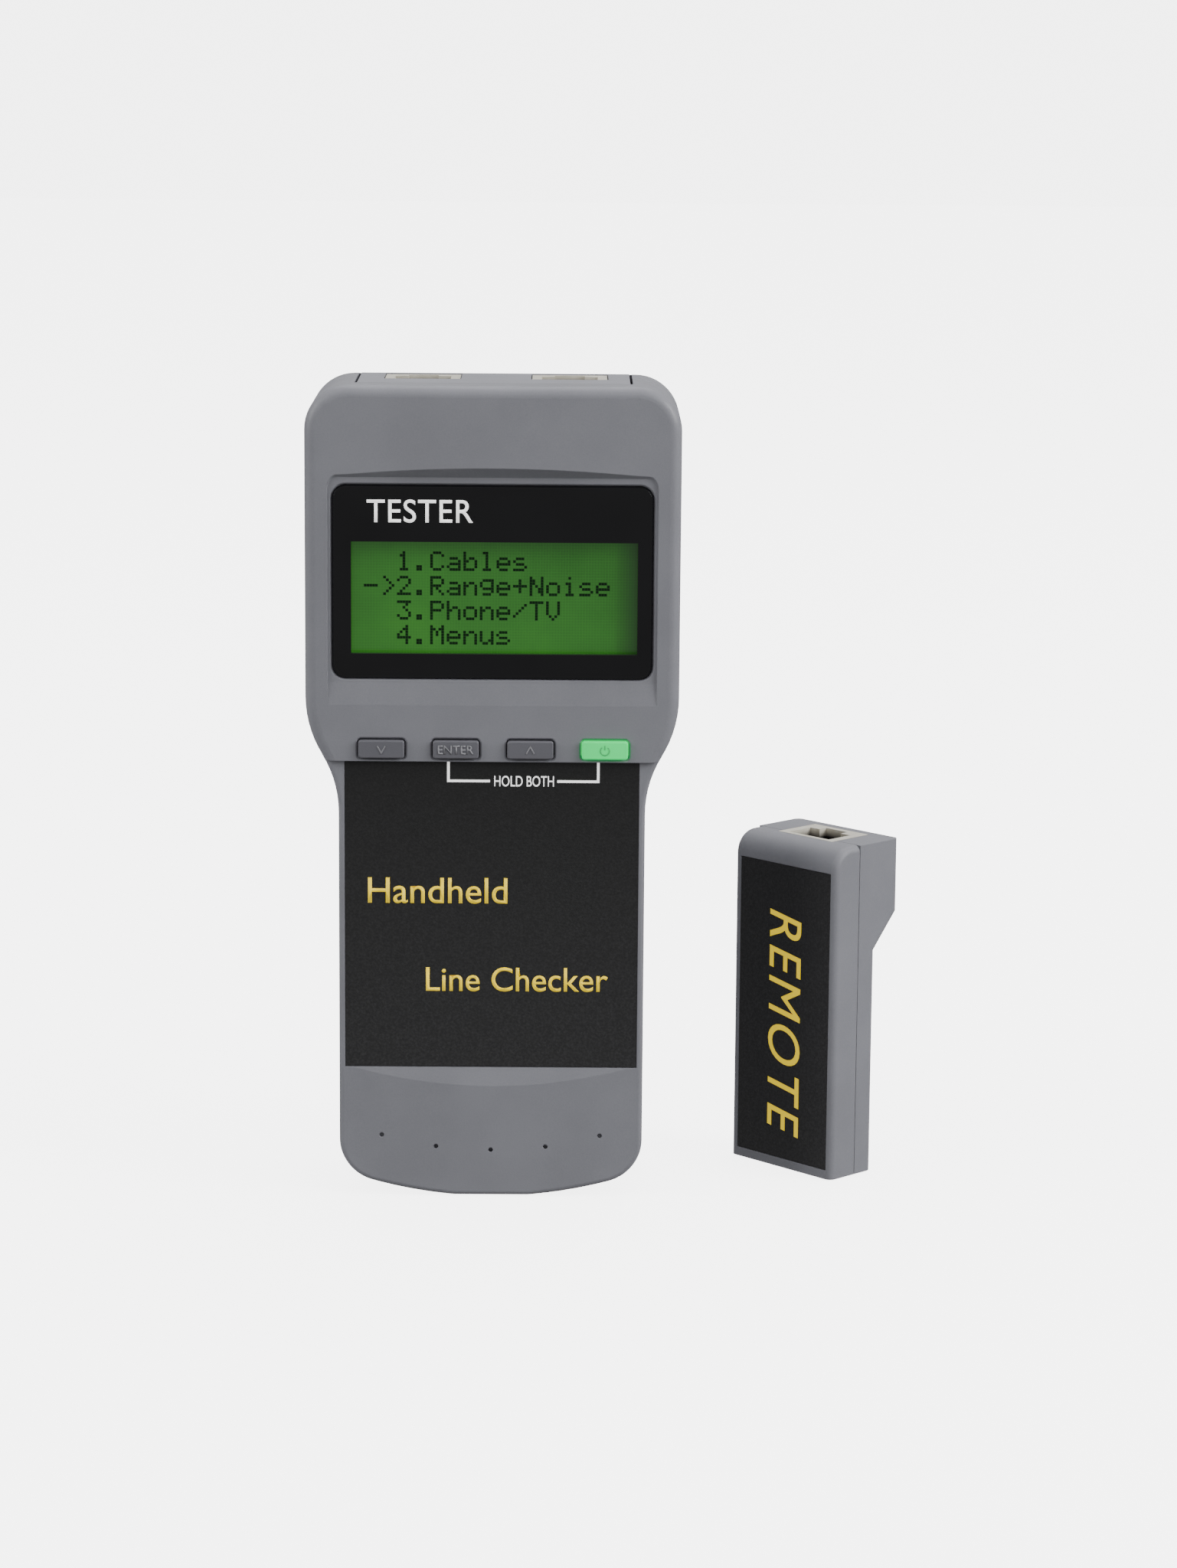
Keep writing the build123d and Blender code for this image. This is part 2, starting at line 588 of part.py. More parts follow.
# ---------------------------------------------------------------------------
# Main unit: circuit board and its parts
# ---------------------------------------------------------------------------
with BuildPart() as main_board:
    plate(MAIN, (-BOARD_HALF, BOARD_HALF), (BOARD_LOW, BOARD_HIGH), 1.5, (BOARD_FRONT, BOARD_BACK))
    rods(MAIN, BOARD_SCREWS, BOARD_SCREW_RADIUS + 0.15, (0, past_seam), Mode.SUBTRACT)
main_board.part.label = "main_board"
export_step(main_board.part, "parts/main_board.step")

with BuildPart() as board_screws:
    rods(MAIN, BOARD_SCREWS, BOARD_SCREW_RADIUS, (BOARD_SCREW_TIP, BOARD_BACK))
    rods(MAIN, BOARD_SCREWS, 2.2, (BOARD_BACK, BOARD_BACK + 1.5))
    screw_cross(MAIN, BOARD_SCREWS, BOARD_BACK + 1.5, 2.4, 0.8)
board_screws.part.label = "board_screws"
export_step(board_screws.part, "parts/board_screws.step")

chip_x, chip_z = CHIP_PLACE
chip_half = CHIP_SIZE / 2
with BuildPart() as microcontroller:
    across_chip = (chip_x - chip_half, chip_x + chip_half)
    along_chip = (chip_z - chip_half, chip_z + chip_half)
    plate(MAIN, across_chip, along_chip, 0.4, (BOARD_BACK + 0.2, BOARD_BACK + 1.7))
microcontroller.part.label = "microcontroller"
export_step(microcontroller.part, "parts/microcontroller.step")

lead_y = (BOARD_BACK, BOARD_BACK + 0.6)
with BuildPart() as microcontroller_leads:
    for place in range(11):
        along = (place - 5) * 1.0
        for side in (-1, 1):
            out = sorted((side * chip_half, side * (chip_half + 1.4)))
            sideways = (chip_x + out[0], chip_x + out[1])
            upright = (chip_z + out[0], chip_z + out[1])
            block(MAIN, sideways, lead_y, (chip_z + along - 0.2, chip_z + along + 0.2))
            block(MAIN, (chip_x + along - 0.2, chip_x + along + 0.2), lead_y, upright)
microcontroller_leads.part.label = "microcontroller_leads"
export_step(microcontroller_leads.part, "parts/microcontroller_leads.step")

with BuildPart() as logic_chips:
    for across, up in LOGIC_CHIPS:
        block(MAIN, (across - 5, across + 5), (BOARD_BACK, BOARD_BACK + 1.7), (up - 2, up + 2))
logic_chips.part.label = "logic_chips"
export_step(logic_chips.part, "parts/logic_chips.step")

with BuildPart() as crystal:
    plate(MAIN, (12, 23), (107.5, 112), 2.2, (BOARD_BACK, BOARD_BACK + 3.5))
    fillet(crystal.faces().sort_by(Axis.Y)[-1].edges(), 0.5)
crystal.part.label = "crystal"
export_step(crystal.part, "parts/crystal.step")

with BuildPart() as capacitors:
    rods(MAIN, CAPACITORS, 3.1, (BOARD_BACK, BOARD_BACK + 7))
    fillet(capacitors.faces().group_by(Axis.Y)[-1].edges(), 0.5)
capacitors.part.label = "capacitors"
export_step(capacitors.part, "parts/capacitors.step")

with BuildPart() as buzzer:
    rods(MAIN, [BUZZER_PLACE], 6, (BOARD_BACK, BOARD_BACK + 6.5))
    rods(MAIN, [BUZZER_PLACE], 1, (BOARD_BACK + 2, BOARD_BACK + 7), Mode.SUBTRACT)
buzzer.part.label = "buzzer"
export_step(buzzer.part, "parts/buzzer.step")


# ---------------------------------------------------------------------------
# Modular jacks, used on both units
# ---------------------------------------------------------------------------
def jack_housing(unit, across, front, top, tall):
    """Plastic body of one jack, whose mouth faces up."""
    plug_front = front + JACK_FACE
    plug_back = plug_front + PLUG_DEEP
    body_x = (across - JACK_WIDE / 2, across + JACK_WIDE / 2)
    plug_x = (across - PLUG_WIDE / 2, across + PLUG_WIDE / 2)
    latch_x = (across - LATCH_WIDE / 2, across + LATCH_WIDE / 2)
    open_z = (top - PLUG_REACH, top + 1)
    with BuildPart() as housing:
        block(unit, body_x, (front, front + JACK_DEEP), (top - tall, top))
        block(unit, plug_x, (plug_front, plug_back), open_z, Mode.SUBTRACT)
        block(unit, latch_x, (plug_back - 1, plug_back + LATCH_DEEP), open_z, Mode.SUBTRACT)
    return housing.part


def jack_contacts(unit, across, front, top):
    """The eight sprung contacts of one jack, along the front of its opening."""
    wall = front + JACK_FACE
    tip = wall + CONTACT_RISE
    with BuildPart() as contacts:
        for place in range(8):
            middle = across + (place - 3.5) * CONTACT_PITCH
            with BuildSketch(beside(unit, middle)) as section:
                Polygon(
                    (wall, top - 1.6),
                    (tip, top - 8.6),
                    (tip, top - 9.4),
                    (tip - 0.35, top - 9.4),
                    (wall, top - 2.9),
                    align=None,
                )
            extrude(section.sketch, amount=CONTACT_WIDE / 2, both=True)
    return contacts.part


jack_front = BOARD_BACK + 0.1
jack_top = TALL - 0.2
for name, across in zip(JACK_NAMES, JACK_X):
    with BuildPart() as jack:
        add(jack_housing(MAIN, across, jack_front, jack_top, JACK_TALL))
    jack.part.label = f"{name}_jack"
    export_step(jack.part, f"parts/{name}_jack.step")

    with BuildPart() as contact_set:
        add(jack_contacts(MAIN, across, jack_front, jack_top))
    contact_set.part.label = f"{name}_contacts"
    export_step(contact_set.part, f"parts/{name}_contacts.step")

# ---------------------------------------------------------------------------
# Main unit: connector panel in the top, held by a flange inside the shells
# ---------------------------------------------------------------------------
with BuildPart() as connector_panel:
    inset = PANEL_HALF - PANEL_END_GAP
    flange_top = TALL - WALL - 0.1
    flange_half = inset + 1.6
    block(MAIN, (-inset, inset), (PANEL_FRONT + PANEL_GAP, PANEL_BACK - PANEL_GAP), (flange_top, TALL))
    flange_y = (PANEL_FRONT - 1.4, back_wall - 0.1)
    block(MAIN, (-flange_half, flange_half), flange_y, (flange_top - 1.2, flange_top))
    hole_half = JACK_WIDE / 2 + PANEL_GAP
    hole_y = (jack_front - PANEL_GAP, jack_front + JACK_DEEP + PANEL_GAP)
    for across in JACK_X:
        hole_x = (across - hole_half, across + hole_half)
        block(MAIN, hole_x, hole_y, (TALL - 5, TALL + 1), Mode.SUBTRACT)
connector_panel.part.label = "connector_panel"
export_step(connector_panel.part, "parts/connector_panel.step")

# ---------------------------------------------------------------------------
# Main unit: battery, its snap and leads, and the door
# ---------------------------------------------------------------------------
battery_wide, battery_deep, battery_tall = BATTERY
battery_front = BATTERY_BACK - battery_deep
battery_middle = (BATTERY_BACK + battery_front) / 2
battery_top = BATTERY_LOW + battery_tall
stud_top = battery_top + STUD_TALL

with BuildPart() as battery:
    battery_x = (-battery_wide / 2, battery_wide / 2)
    block(MAIN, battery_x, (battery_front, BATTERY_BACK), (BATTERY_LOW, battery_top))
    fillet(battery.edges().filter_by(Axis.Z), 2.2)
battery.part.label = "battery"
export_step(battery.part, "parts/battery.step")

with BuildPart() as battery_studs:
    with BuildSketch(MAIN.offset(battery_top)):
        with Locations((-STUD_X, battery_middle)):
            Circle(STUD_RADIUS)
        with Locations((STUD_X, battery_middle)):
            RegularPolygon(STUD_RADIUS + 1.2, 6)
    extrude(amount=STUD_TALL)
battery_studs.part.label = "battery_studs"
export_step(battery_studs.part, "parts/battery_studs.step")

with BuildPart() as battery_pad:
    block(MAIN, (-4.8, 4.8), (battery_front, BATTERY_BACK - 1), (BAY_LOW, BATTERY_LOW))
battery_pad.part.label = "battery_pad"
export_step(battery_pad.part, "parts/battery_pad.step")

with BuildPart() as battery_snap:
    snap_y = (battery_middle - 6.4, battery_middle + 6.4)
    block(MAIN, (-12.8, 12.8), snap_y, (stud_top, stud_top + 2))
    fillet(battery_snap.edges().filter_by(Axis.Z), 3)
    with BuildSketch(MAIN.offset(battery_top + 0.4)):
        with Locations((-STUD_X, battery_middle)):
            Circle(STUD_RADIUS + 1.4)
            Circle(STUD_RADIUS + 0.1, mode=Mode.SUBTRACT)
    extrude(amount=stud_top - battery_top - 0.4)
battery_snap.part.label = "battery_snap"
export_step(battery_snap.part, "parts/battery_snap.step")

# Each lead rises through the bay's top, turns forward and ends on the board
lead_foot = stud_top + 2
for name, across in (("red", -LEAD_X), ("black", LEAD_X)):
    start = MAIN.from_local_coords(Vector(across, battery_middle, lead_foot))
    corner = MAIN.from_local_coords(Vector(across, battery_middle, LEAD_HIGH))
    end = MAIN.from_local_coords(Vector(across, BOARD_BACK, LEAD_HIGH))
    with BuildPart() as lead:
        with BuildLine() as route:
            FilletPolyline(start, corner, end, radius=LEAD_BEND)
        with BuildSketch(Plane(origin=start, z_dir=(0, 0, 1))):
            Circle(LEAD_RADIUS)
        sweep()
    lead.part.label = f"battery_lead_{name}"
    export_step(lead.part, f"parts/battery_lead_{name}.step")

with BuildPart() as battery_door:
    door_half = DOOR_HALF - DOOR_GAP
    door_z = (DOOR_LOW + DOOR_GAP, DOOR_HIGH - DOOR_GAP)
    door_front = DEEP - DOOR_THICK + 0.25
    plate(MAIN, (-door_half, door_half), door_z, 1.2, (door_front, DEEP))
    chamfer(battery_door.faces().sort_by(Axis.Y)[-1].edges(), 0.3)
    # Grip grooves near the top edge
    for row in range(5):
        low = door_z[1] - 6 - row * 1.8
        block(MAIN, (-8, 8), (DEEP - 0.5, DEEP + 1), (low, low + 0.9), Mode.SUBTRACT)
    # Two hooks that reach under the wall below the door
    for side in (-1, 1):
        hook_x = sorted((side * HOOK_X[0], side * HOOK_X[1]))
        block(MAIN, hook_x, (HOOK_FRONT, door_front), (door_z[0], BAY_LOW))
        block(MAIN, hook_x, (HOOK_FRONT, back_wall - 0.2), (HOOK_LOW, BAY_LOW))
battery_door.part.label = "battery_door"
export_step(battery_door.part, "parts/battery_door.step")

with BuildPart() as case_screws:
    rods(MAIN, CASE_SCREWS, SCREW_RADIUS, (SCREW_TIP, SCREW_SEAT))
    rods(MAIN, CASE_SCREWS, SCREW_HEAD_RADIUS, (SCREW_SEAT, SCREW_SEAT + 2))
    screw_cross(MAIN, CASE_SCREWS, SCREW_SEAT + 2, 3.4, 1.2)
case_screws.part.label = "case_screws"
export_step(case_screws.part, "parts/case_screws.step")

# ---------------------------------------------------------------------------
# Remote unit
# ---------------------------------------------------------------------------
remote_half = REMOTE_WIDE / 2
remote_back = Axis(REMOTE.origin, REMOTE.y_dir)
remote_label_x = (REMOTE_LABEL_SHIFT - REMOTE_LABEL_HALF, REMOTE_LABEL_SHIFT + REMOTE_LABEL_HALF)
remote_inside = (-remote_half + REMOTE_WALL, remote_half - REMOTE_WALL)
slope_low, slope_high = REMOTE_SLOPE
remote_lid = REMOTE_TALL - REMOTE_WALL
jack_gap = (-JACK_WIDE / 2 - PANEL_GAP, JACK_WIDE / 2 + PANEL_GAP)
lid_z = (remote_lid - 1, REMOTE_TALL + 1)
remote_screw_spots = [(0, up) for up in REMOTE_SCREWS]


def side_profile(points, x_range, mode=Mode.ADD):
    """A side view of the remote unit, taken across its width."""
    with BuildSketch(beside(REMOTE, x_range[0])) as section:
        Polygon(*points, align=None)
    extrude(section.sketch, amount=x_range[1] - x_range[0], mode=mode)


with BuildPart() as remote_front:
    block(REMOTE, (-remote_half, remote_half), (0, REMOTE_SEAM), (0, REMOTE_TALL))
    brow = remote_front.edges().group_by(Axis.Z)[-1].sort_by(remote_back)[0]
    fillet(brow, REMOTE_BROW)
    outer_edges = remote_front.edges().filter_by(
        lambda edge: abs(REMOTE.to_local_coords(edge @ 0.5).Y - REMOTE_SEAM) > 0.2
        and REMOTE.to_local_coords(edge @ 0.5).Z > 0.01
        and abs(REMOTE.to_local_coords(edge @ 0.5).X) > remote_half - 0.01
    )
    fillet(outer_edges, REMOTE_ROUND)
    seam_edges = remote_front.faces().sort_by(remote_back)[-1].edges()
    chamfer(seam_edges, 0.15)
    past_join = REMOTE_SEAM + 1
    low_inside = (REMOTE_WALL, remote_lid - 2.5)
    block(REMOTE, remote_inside, (REMOTE_WALL, past_join), low_inside, Mode.SUBTRACT)
    block(REMOTE, remote_inside, (REMOTE_WALL + 2.5, past_join), (REMOTE_WALL, remote_lid), Mode.SUBTRACT)
    pocket_x = (remote_label_x[0] - 0.1, remote_label_x[1] + 0.1)
    pocket_z = (REMOTE_LABEL[0] - 0.1, REMOTE_LABEL[1] + 0.1)
    block(REMOTE, pocket_x, (-1, LABEL_DEPTH), pocket_z, Mode.SUBTRACT)
    rods(REMOTE, remote_screw_spots, 2.8, (REMOTE_WALL - 0.3, REMOTE_SEAM))
    rods(REMOTE, remote_screw_spots, BOARD_SCREW_RADIUS, (2.6, REMOTE_SEAM + 1), Mode.SUBTRACT)
    rods(REMOTE, REMOTE_POSTS, 1.6, (REMOTE_WALL - 0.3, REMOTE_BOARD_FRONT))
    block(REMOTE, jack_gap, (REMOTE_JACK_FRONT - PANEL_GAP, past_join), lid_z, Mode.SUBTRACT)
remote_front.part.label = "remote_front_shell"
export_step(remote_front.part, "parts/remote_front_shell.step")

with BuildPart() as remote_rear:
    side_profile(
        (
            (REMOTE_SEAM, 0),
            (REMOTE_THIN, 0),
            (REMOTE_THIN, slope_low),
            (REMOTE_DEEP, slope_high),
            (REMOTE_DEEP, REMOTE_TALL),
            (REMOTE_SEAM, REMOTE_TALL),
        ),
        (-remote_half, remote_half),
    )
    outer_edges = remote_rear.edges().filter_by(
        lambda edge: REMOTE.to_local_coords(edge @ 0.5).Y > REMOTE_THIN - 0.1
        and abs(REMOTE.to_local_coords(edge @ 0.5).X) > remote_half - 0.01
        and 0.01 < REMOTE.to_local_coords(edge @ 0.5).Z < REMOTE_TALL - 0.01
    )
    fillet(outer_edges, REMOTE_ROUND)
    inner_slope = REMOTE_WALL * 0.4
    side_profile(
        (
            (REMOTE_SEAM - 1, REMOTE_WALL),
            (REMOTE_THIN - REMOTE_WALL, REMOTE_WALL),
            (REMOTE_THIN - REMOTE_WALL, slope_low + inner_slope),
            (REMOTE_DEEP - REMOTE_WALL, slope_high + inner_slope),
            (REMOTE_DEEP - REMOTE_WALL, remote_lid),
            (REMOTE_SEAM - 1, remote_lid),
        ),
        remote_inside,
        Mode.SUBTRACT,
    )
    rods(REMOTE, remote_screw_spots, 3.1, (REMOTE_SEAM, REMOTE_THIN - 0.5))
    rods(REMOTE, remote_screw_spots, 2.3, (REMOTE_SCREW_SEAT, REMOTE_THIN + 1), Mode.SUBTRACT)
    clear_radius = BOARD_SCREW_RADIUS + 0.15
    rods(REMOTE, remote_screw_spots, clear_radius, (REMOTE_SEAM - 1, REMOTE_THIN), Mode.SUBTRACT)
    jack_back = REMOTE_JACK_FRONT + JACK_DEEP + PANEL_GAP / 4
    block(REMOTE, jack_gap, (REMOTE_SEAM - 1, jack_back), lid_z, Mode.SUBTRACT)
remote_rear.part.label = "remote_rear_shell"
export_step(remote_rear.part, "parts/remote_rear_shell.step")

with BuildPart() as remote_label:
    block(REMOTE, remote_label_x, (LABEL_DEPTH - LABEL_THICK, LABEL_DEPTH), REMOTE_LABEL)
remote_label.part.label = "remote_label"
export_step(remote_label.part, "parts/remote_label.step")

with BuildPart() as remote_jack:
    add(jack_housing(REMOTE, 0, REMOTE_JACK_FRONT, REMOTE_TALL, REMOTE_JACK_TALL))
remote_jack.part.label = "remote_jack"
export_step(remote_jack.part, "parts/remote_jack.step")

with BuildPart() as remote_contacts:
    add(jack_contacts(REMOTE, 0, REMOTE_JACK_FRONT, REMOTE_TALL))
remote_contacts.part.label = "remote_contacts"
export_step(remote_contacts.part, "parts/remote_contacts.step")

board_back = REMOTE_BOARD_FRONT + 1.6
with BuildPart() as remote_board:
    plate(REMOTE, (-12.4, 12.4), (45.5, 71.5), 0.8, (REMOTE_BOARD_FRONT, board_back))
remote_board.part.label = "remote_board"
export_step(remote_board.part, "parts/remote_board.step")

with BuildPart() as remote_diodes:
    for place in range(8):
        middle = (place - 3.5) * 2.8
        with BuildSketch(REMOTE.offset(46.6)) as section:
            with Locations((middle, board_back + 1)):
                Circle(0.95)
        extrude(section.sketch, amount=4.2)
remote_diodes.part.label = "remote_diodes"
export_step(remote_diodes.part, "parts/remote_diodes.step")

with BuildPart() as remote_screws:
    rods(REMOTE, remote_screw_spots, BOARD_SCREW_RADIUS, (3.6, REMOTE_SCREW_SEAT))
    rods(REMOTE, remote_screw_spots, 2.1, (REMOTE_SCREW_SEAT, REMOTE_SCREW_SEAT + 1.4))
    screw_cross(REMOTE, remote_screw_spots, REMOTE_SCREW_SEAT + 1.4, 2.4, 0.8)
remote_screws.part.label = "remote_screws"
export_step(remote_screws.part, "parts/remote_screws.step")
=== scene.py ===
import math

import bmesh
import bpy
from mathutils import Matrix, Vector


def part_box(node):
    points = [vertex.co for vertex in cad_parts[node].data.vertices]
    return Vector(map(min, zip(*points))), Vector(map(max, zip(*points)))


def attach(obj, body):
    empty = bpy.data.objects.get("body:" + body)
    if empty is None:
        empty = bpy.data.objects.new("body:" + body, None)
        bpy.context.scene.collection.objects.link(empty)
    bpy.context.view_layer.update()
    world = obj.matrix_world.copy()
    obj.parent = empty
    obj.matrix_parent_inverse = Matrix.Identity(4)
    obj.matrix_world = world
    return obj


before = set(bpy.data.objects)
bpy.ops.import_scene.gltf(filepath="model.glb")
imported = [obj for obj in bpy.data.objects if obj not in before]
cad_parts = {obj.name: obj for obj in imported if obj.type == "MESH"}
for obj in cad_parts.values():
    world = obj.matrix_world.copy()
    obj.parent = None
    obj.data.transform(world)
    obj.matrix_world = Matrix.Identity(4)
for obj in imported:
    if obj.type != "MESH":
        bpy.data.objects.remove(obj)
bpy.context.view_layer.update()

MM = 0.001

# ---------------------------------------------------------------------------
# Places, all worked out from the frame. Millimetres from the main unit's own
# origin (the middle of its base, at its front plane) are turned into metres.
# ---------------------------------------------------------------------------
shell_low, shell_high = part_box("front_shell")
MAIN_DEEP = 32.0                 # from the front plane to the flat back
MAIN_X = (shell_low.x + shell_high.x) / 2
MAIN_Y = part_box("rear_shell")[1].y - MAIN_DEEP * MM
REMOTE_TURN = math.radians(46.35)
REMOTE_FRONT = (63.75, 24.2)     # middle of the remote's front, from the main unit's origin


def main_at(x, y, z):
    """A point of the main unit: x across, y back from its front plane, z up."""
    return Vector((MAIN_X + x * MM, MAIN_Y + y * MM, z * MM))


def remote_at(x, y, z):
    """A point of the remote unit, measured the same way from its own front."""
    across = REMOTE_FRONT[0] + x * math.cos(REMOTE_TURN) + y * math.sin(REMOTE_TURN)
    back = REMOTE_FRONT[1] - x * math.sin(REMOTE_TURN) + y * math.cos(REMOTE_TURN)
    return main_at(across, back, z)


# ---------------------------------------------------------------------------
# Camera: a long lens, a little to the right of the tester and above it
# ---------------------------------------------------------------------------
CAMERA_PLACE = (15.8, -892.5, 260.7)     # millimetres, from the main unit's origin
CAMERA_LENS = 98.2
CAMERA_DOWN = 10.778                     # degrees below level
CAMERA_TURN = -0.304
CAMERA_ROLL = 0.44

camera_data = bpy.data.cameras.new("camera")
camera_data.lens = CAMERA_LENS
camera_data.sensor_width = 36.0
camera_data.clip_start = 0.05
camera_data.clip_end = 20.0
camera = bpy.data.objects.new("camera", camera_data)
camera.location = main_at(*CAMERA_PLACE)
turned = Matrix.Rotation(math.radians(CAMERA_TURN), 4, "Z")
tilted = Matrix.Rotation(math.radians(90 - CAMERA_DOWN), 4, "X")
rolled = Matrix.Rotation(math.radians(CAMERA_ROLL), 4, "Z")
camera.rotation_euler = (turned @ tilted @ rolled).to_euler()
bpy.context.scene.collection.objects.link(camera)
bpy.context.scene.camera = camera


# ---------------------------------------------------------------------------
# Small helpers for materials
# ---------------------------------------------------------------------------
class Shader:
    """A node material under construction, with short calls for common nodes."""

    def __init__(self, name):
        self.material = bpy.data.materials.new(name)
        self.material.use_nodes = True
        self.tree = self.material.node_tree
        self.bsdf = self.tree.nodes["Principled BSDF"]
        coordinates = self.tree.nodes.new("ShaderNodeTexCoord")
        self.place = coordinates.outputs["Object"]

    def node(self, kind, **values):
        made = self.tree.nodes.new(kind)
        for key, value in values.items():
            setattr(made, key, value)
        return made

    def link(self, source, target):
        self.tree.links.new(source, target)

    def set(self, **values):
        for key, value in values.items():
            self.bsdf.inputs[key.replace("_", " ")].default_value = value

    def noise(self, size_mm, detail=2.0, rough=0.5):
        """Noise whose features are about this many millimetres across."""
        made = self.node("ShaderNodeTexNoise")
        made.inputs["Scale"].default_value = 1 / (size_mm * MM)
        made.inputs["Detail"].default_value = detail
        made.inputs["Roughness"].default_value = rough
        self.link(self.place, made.inputs["Vector"])
        return made.outputs["Fac"]

    def cells(self, size_mm, feature="F1"):
        made = self.node("ShaderNodeTexVoronoi", feature=feature)
        made.inputs["Scale"].default_value = 1 / (size_mm * MM)
        self.link(self.place, made.inputs["Vector"])
        return made.outputs["Distance"]

    def ramp(self, source, stops):
        """A ramp of grey values or colours: stops are (position, value) pairs."""
        made = self.node("ShaderNodeValToRGB")
        elements = made.color_ramp.elements
        for place, (position, value) in enumerate(stops):
            element = elements[place] if place < 2 else elements.new(position)
            element.position = position
            element.color = value if len(value) == 4 else (*value, 1)
        self.link(source, made.inputs["Fac"])
        return made.outputs["Color"]

    def math(self, operation, first, second=None, clamp=False):
        made = self.node("ShaderNodeMath", operation=operation, use_clamp=clamp)
        for socket, value in zip(made.inputs, (first, second)):
            if value is None:
                continue
            if isinstance(value, (int, float)):
                socket.default_value = value
            else:
                self.link(value, socket)
        return made.outputs["Value"]

    def mix(self, factor, first, second, blend="MIX"):
        made = self.node("ShaderNodeMix", data_type="RGBA", blend_type=blend)
        sockets = (made.inputs[0], made.inputs[6], made.inputs[7])
        for socket, value in zip(sockets, (factor, first, second)):
            if isinstance(value, (int, float)):
                socket.default_value = value
            elif isinstance(value, (tuple, list)):
                socket.default_value = value if len(value) == 4 else (*value, 1)
            else:
                self.link(value, socket)
        return made.outputs[2]

    def edges(self, radius_mm):
        """About 0 on flats and up to 1 on edges, and the normal rounded over them."""
        bevel = self.node("ShaderNodeBevel", samples=6)
        bevel.inputs["Radius"].default_value = radius_mm * MM
        surface = self.node("ShaderNodeNewGeometry")
        dot = self.node("ShaderNodeVectorMath", operation="DOT_PRODUCT")
        self.link(bevel.outputs["Normal"], dot.inputs[0])
        self.link(surface.outputs["Normal"], dot.inputs[1])
        bent = self.math("SUBTRACT", 1.0, dot.outputs["Value"], clamp=True)
        return self.math("MULTIPLY", bent, 4.0, clamp=True), bevel.outputs["Normal"]

    def bump(self, height, depth_mm, normal=None, strength=1.0):
        made = self.node("ShaderNodeBump")
        made.inputs["Strength"].default_value = strength
        made.inputs["Distance"].default_value = depth_mm * MM
        self.link(height, made.inputs["Height"])
        if normal is not None:
            self.link(normal, made.inputs["Normal"])
        return made.outputs["Normal"]

    def finish(self, colour=None, roughness=None, normal=None):
        for name, source in (("Base Color", colour), ("Roughness", roughness), ("Normal", normal)):
            if source is not None:
                self.link(source, self.bsdf.inputs[name])
        return self.material


def tint(colour, factor):
    return tuple(min(1.0, channel * factor) for channel in colour[:3])


# ---------------------------------------------------------------------------
# Materials
# ---------------------------------------------------------------------------
def moulded(
    name, colour, grain_mm=0.28, grain_deep=0.012, rough=(0.42, 0.56), wear_and_highlight=1.35, edge_mm=0.25, glow=0.0
):
    """Moulded plastic with a spark-eroded grain, faint mottling, and edges lightened partly as rubbed wear
    and partly as painted highlight.
    """
    shader = Shader(name)
    grain = shader.noise(grain_mm, 3.0, 0.6)
    mottle = shader.noise(14.0, 3.0, 0.55)
    base = shader.ramp(mottle, ((0.3, tint(colour, 0.95)), (0.7, tint(colour, 1.05))))
    speck = shader.ramp(grain, ((0.25, (0.90,) * 3), (0.75, (1.08,) * 3)))
    base = shader.mix(0.6, base, speck, "MULTIPLY")
    on_edges, rounded = shader.edges(edge_mm)
    patches = shader.ramp(shader.noise(3.0), ((0.35, (0.25,) * 3), (0.7, (1,) * 3)))
    rubbed_and_highlit = shader.math("MULTIPLY", on_edges, patches)
    # Lightens the edges, partly as rubbed wear and partly as a painted highlight.
    base = shader.mix(shader.math("MULTIPLY", rubbed_and_highlit, 0.5), base, tint(colour, wear_and_highlight))
    # Painted glow: the moulding gives off light of its own colour, though it is no lamp.
    if glow:
        shader.set(Emission_Color=(*colour, 1), Emission_Strength=glow, Specular_IOR_Level=0.1)
    handling = shader.ramp(shader.noise(9.0, 4.0), ((0.3, (rough[0],) * 3), (0.75, (rough[1],) * 3)))
    normal = shader.bump(grain, grain_deep, rounded)
    return shader.finish(base, handling, normal)


def smooth_plastic(name, colour, rough=0.25, edge_mm=0.12, coat=0.0):
    """Polished moulding, with faint unevenness in its gloss."""
    shader = Shader(name)
    base = shader.ramp(shader.noise(6.0, 2.0), ((0.3, tint(colour, 0.93)), (0.7, tint(colour, 1.06))))
    gloss = shader.ramp(shader.noise(2.5, 4.0), ((0.3, (rough * 0.8,) * 3), (0.75, (rough * 1.25,) * 3)))
    _, rounded = shader.edges(edge_mm)
    normal = shader.bump(shader.noise(1.6, 1.0), 0.004, rounded)
    shader.set(Coat_Weight=coat, Coat_Roughness=0.06)
    return shader.finish(base, gloss, normal)


def jack_plastic(name, top):
    """Cream plastic that falls into shadow a little below the mouth of the jack."""
    shader = Shader(name)
    split = shader.node("ShaderNodeSeparateXYZ")
    shader.link(shader.place, split.inputs[0])
    below = shader.math("SUBTRACT", top - 0.35 * MM, split.outputs["Z"])
    depth = shader.math("DIVIDE", below, 1.6 * MM, clamp=True)
    cream = shader.ramp(shader.noise(3.0, 2.0), ((0.3, (0.60, 0.57, 0.47)), (0.7, (0.72, 0.69, 0.60))))
    base = shader.mix(depth, cream, (0.012, 0.010, 0.014))
    shader.set(Roughness=0.35)
    return shader.finish(base, None, shader.bump(shader.noise(1.2, 1.0), 0.004))


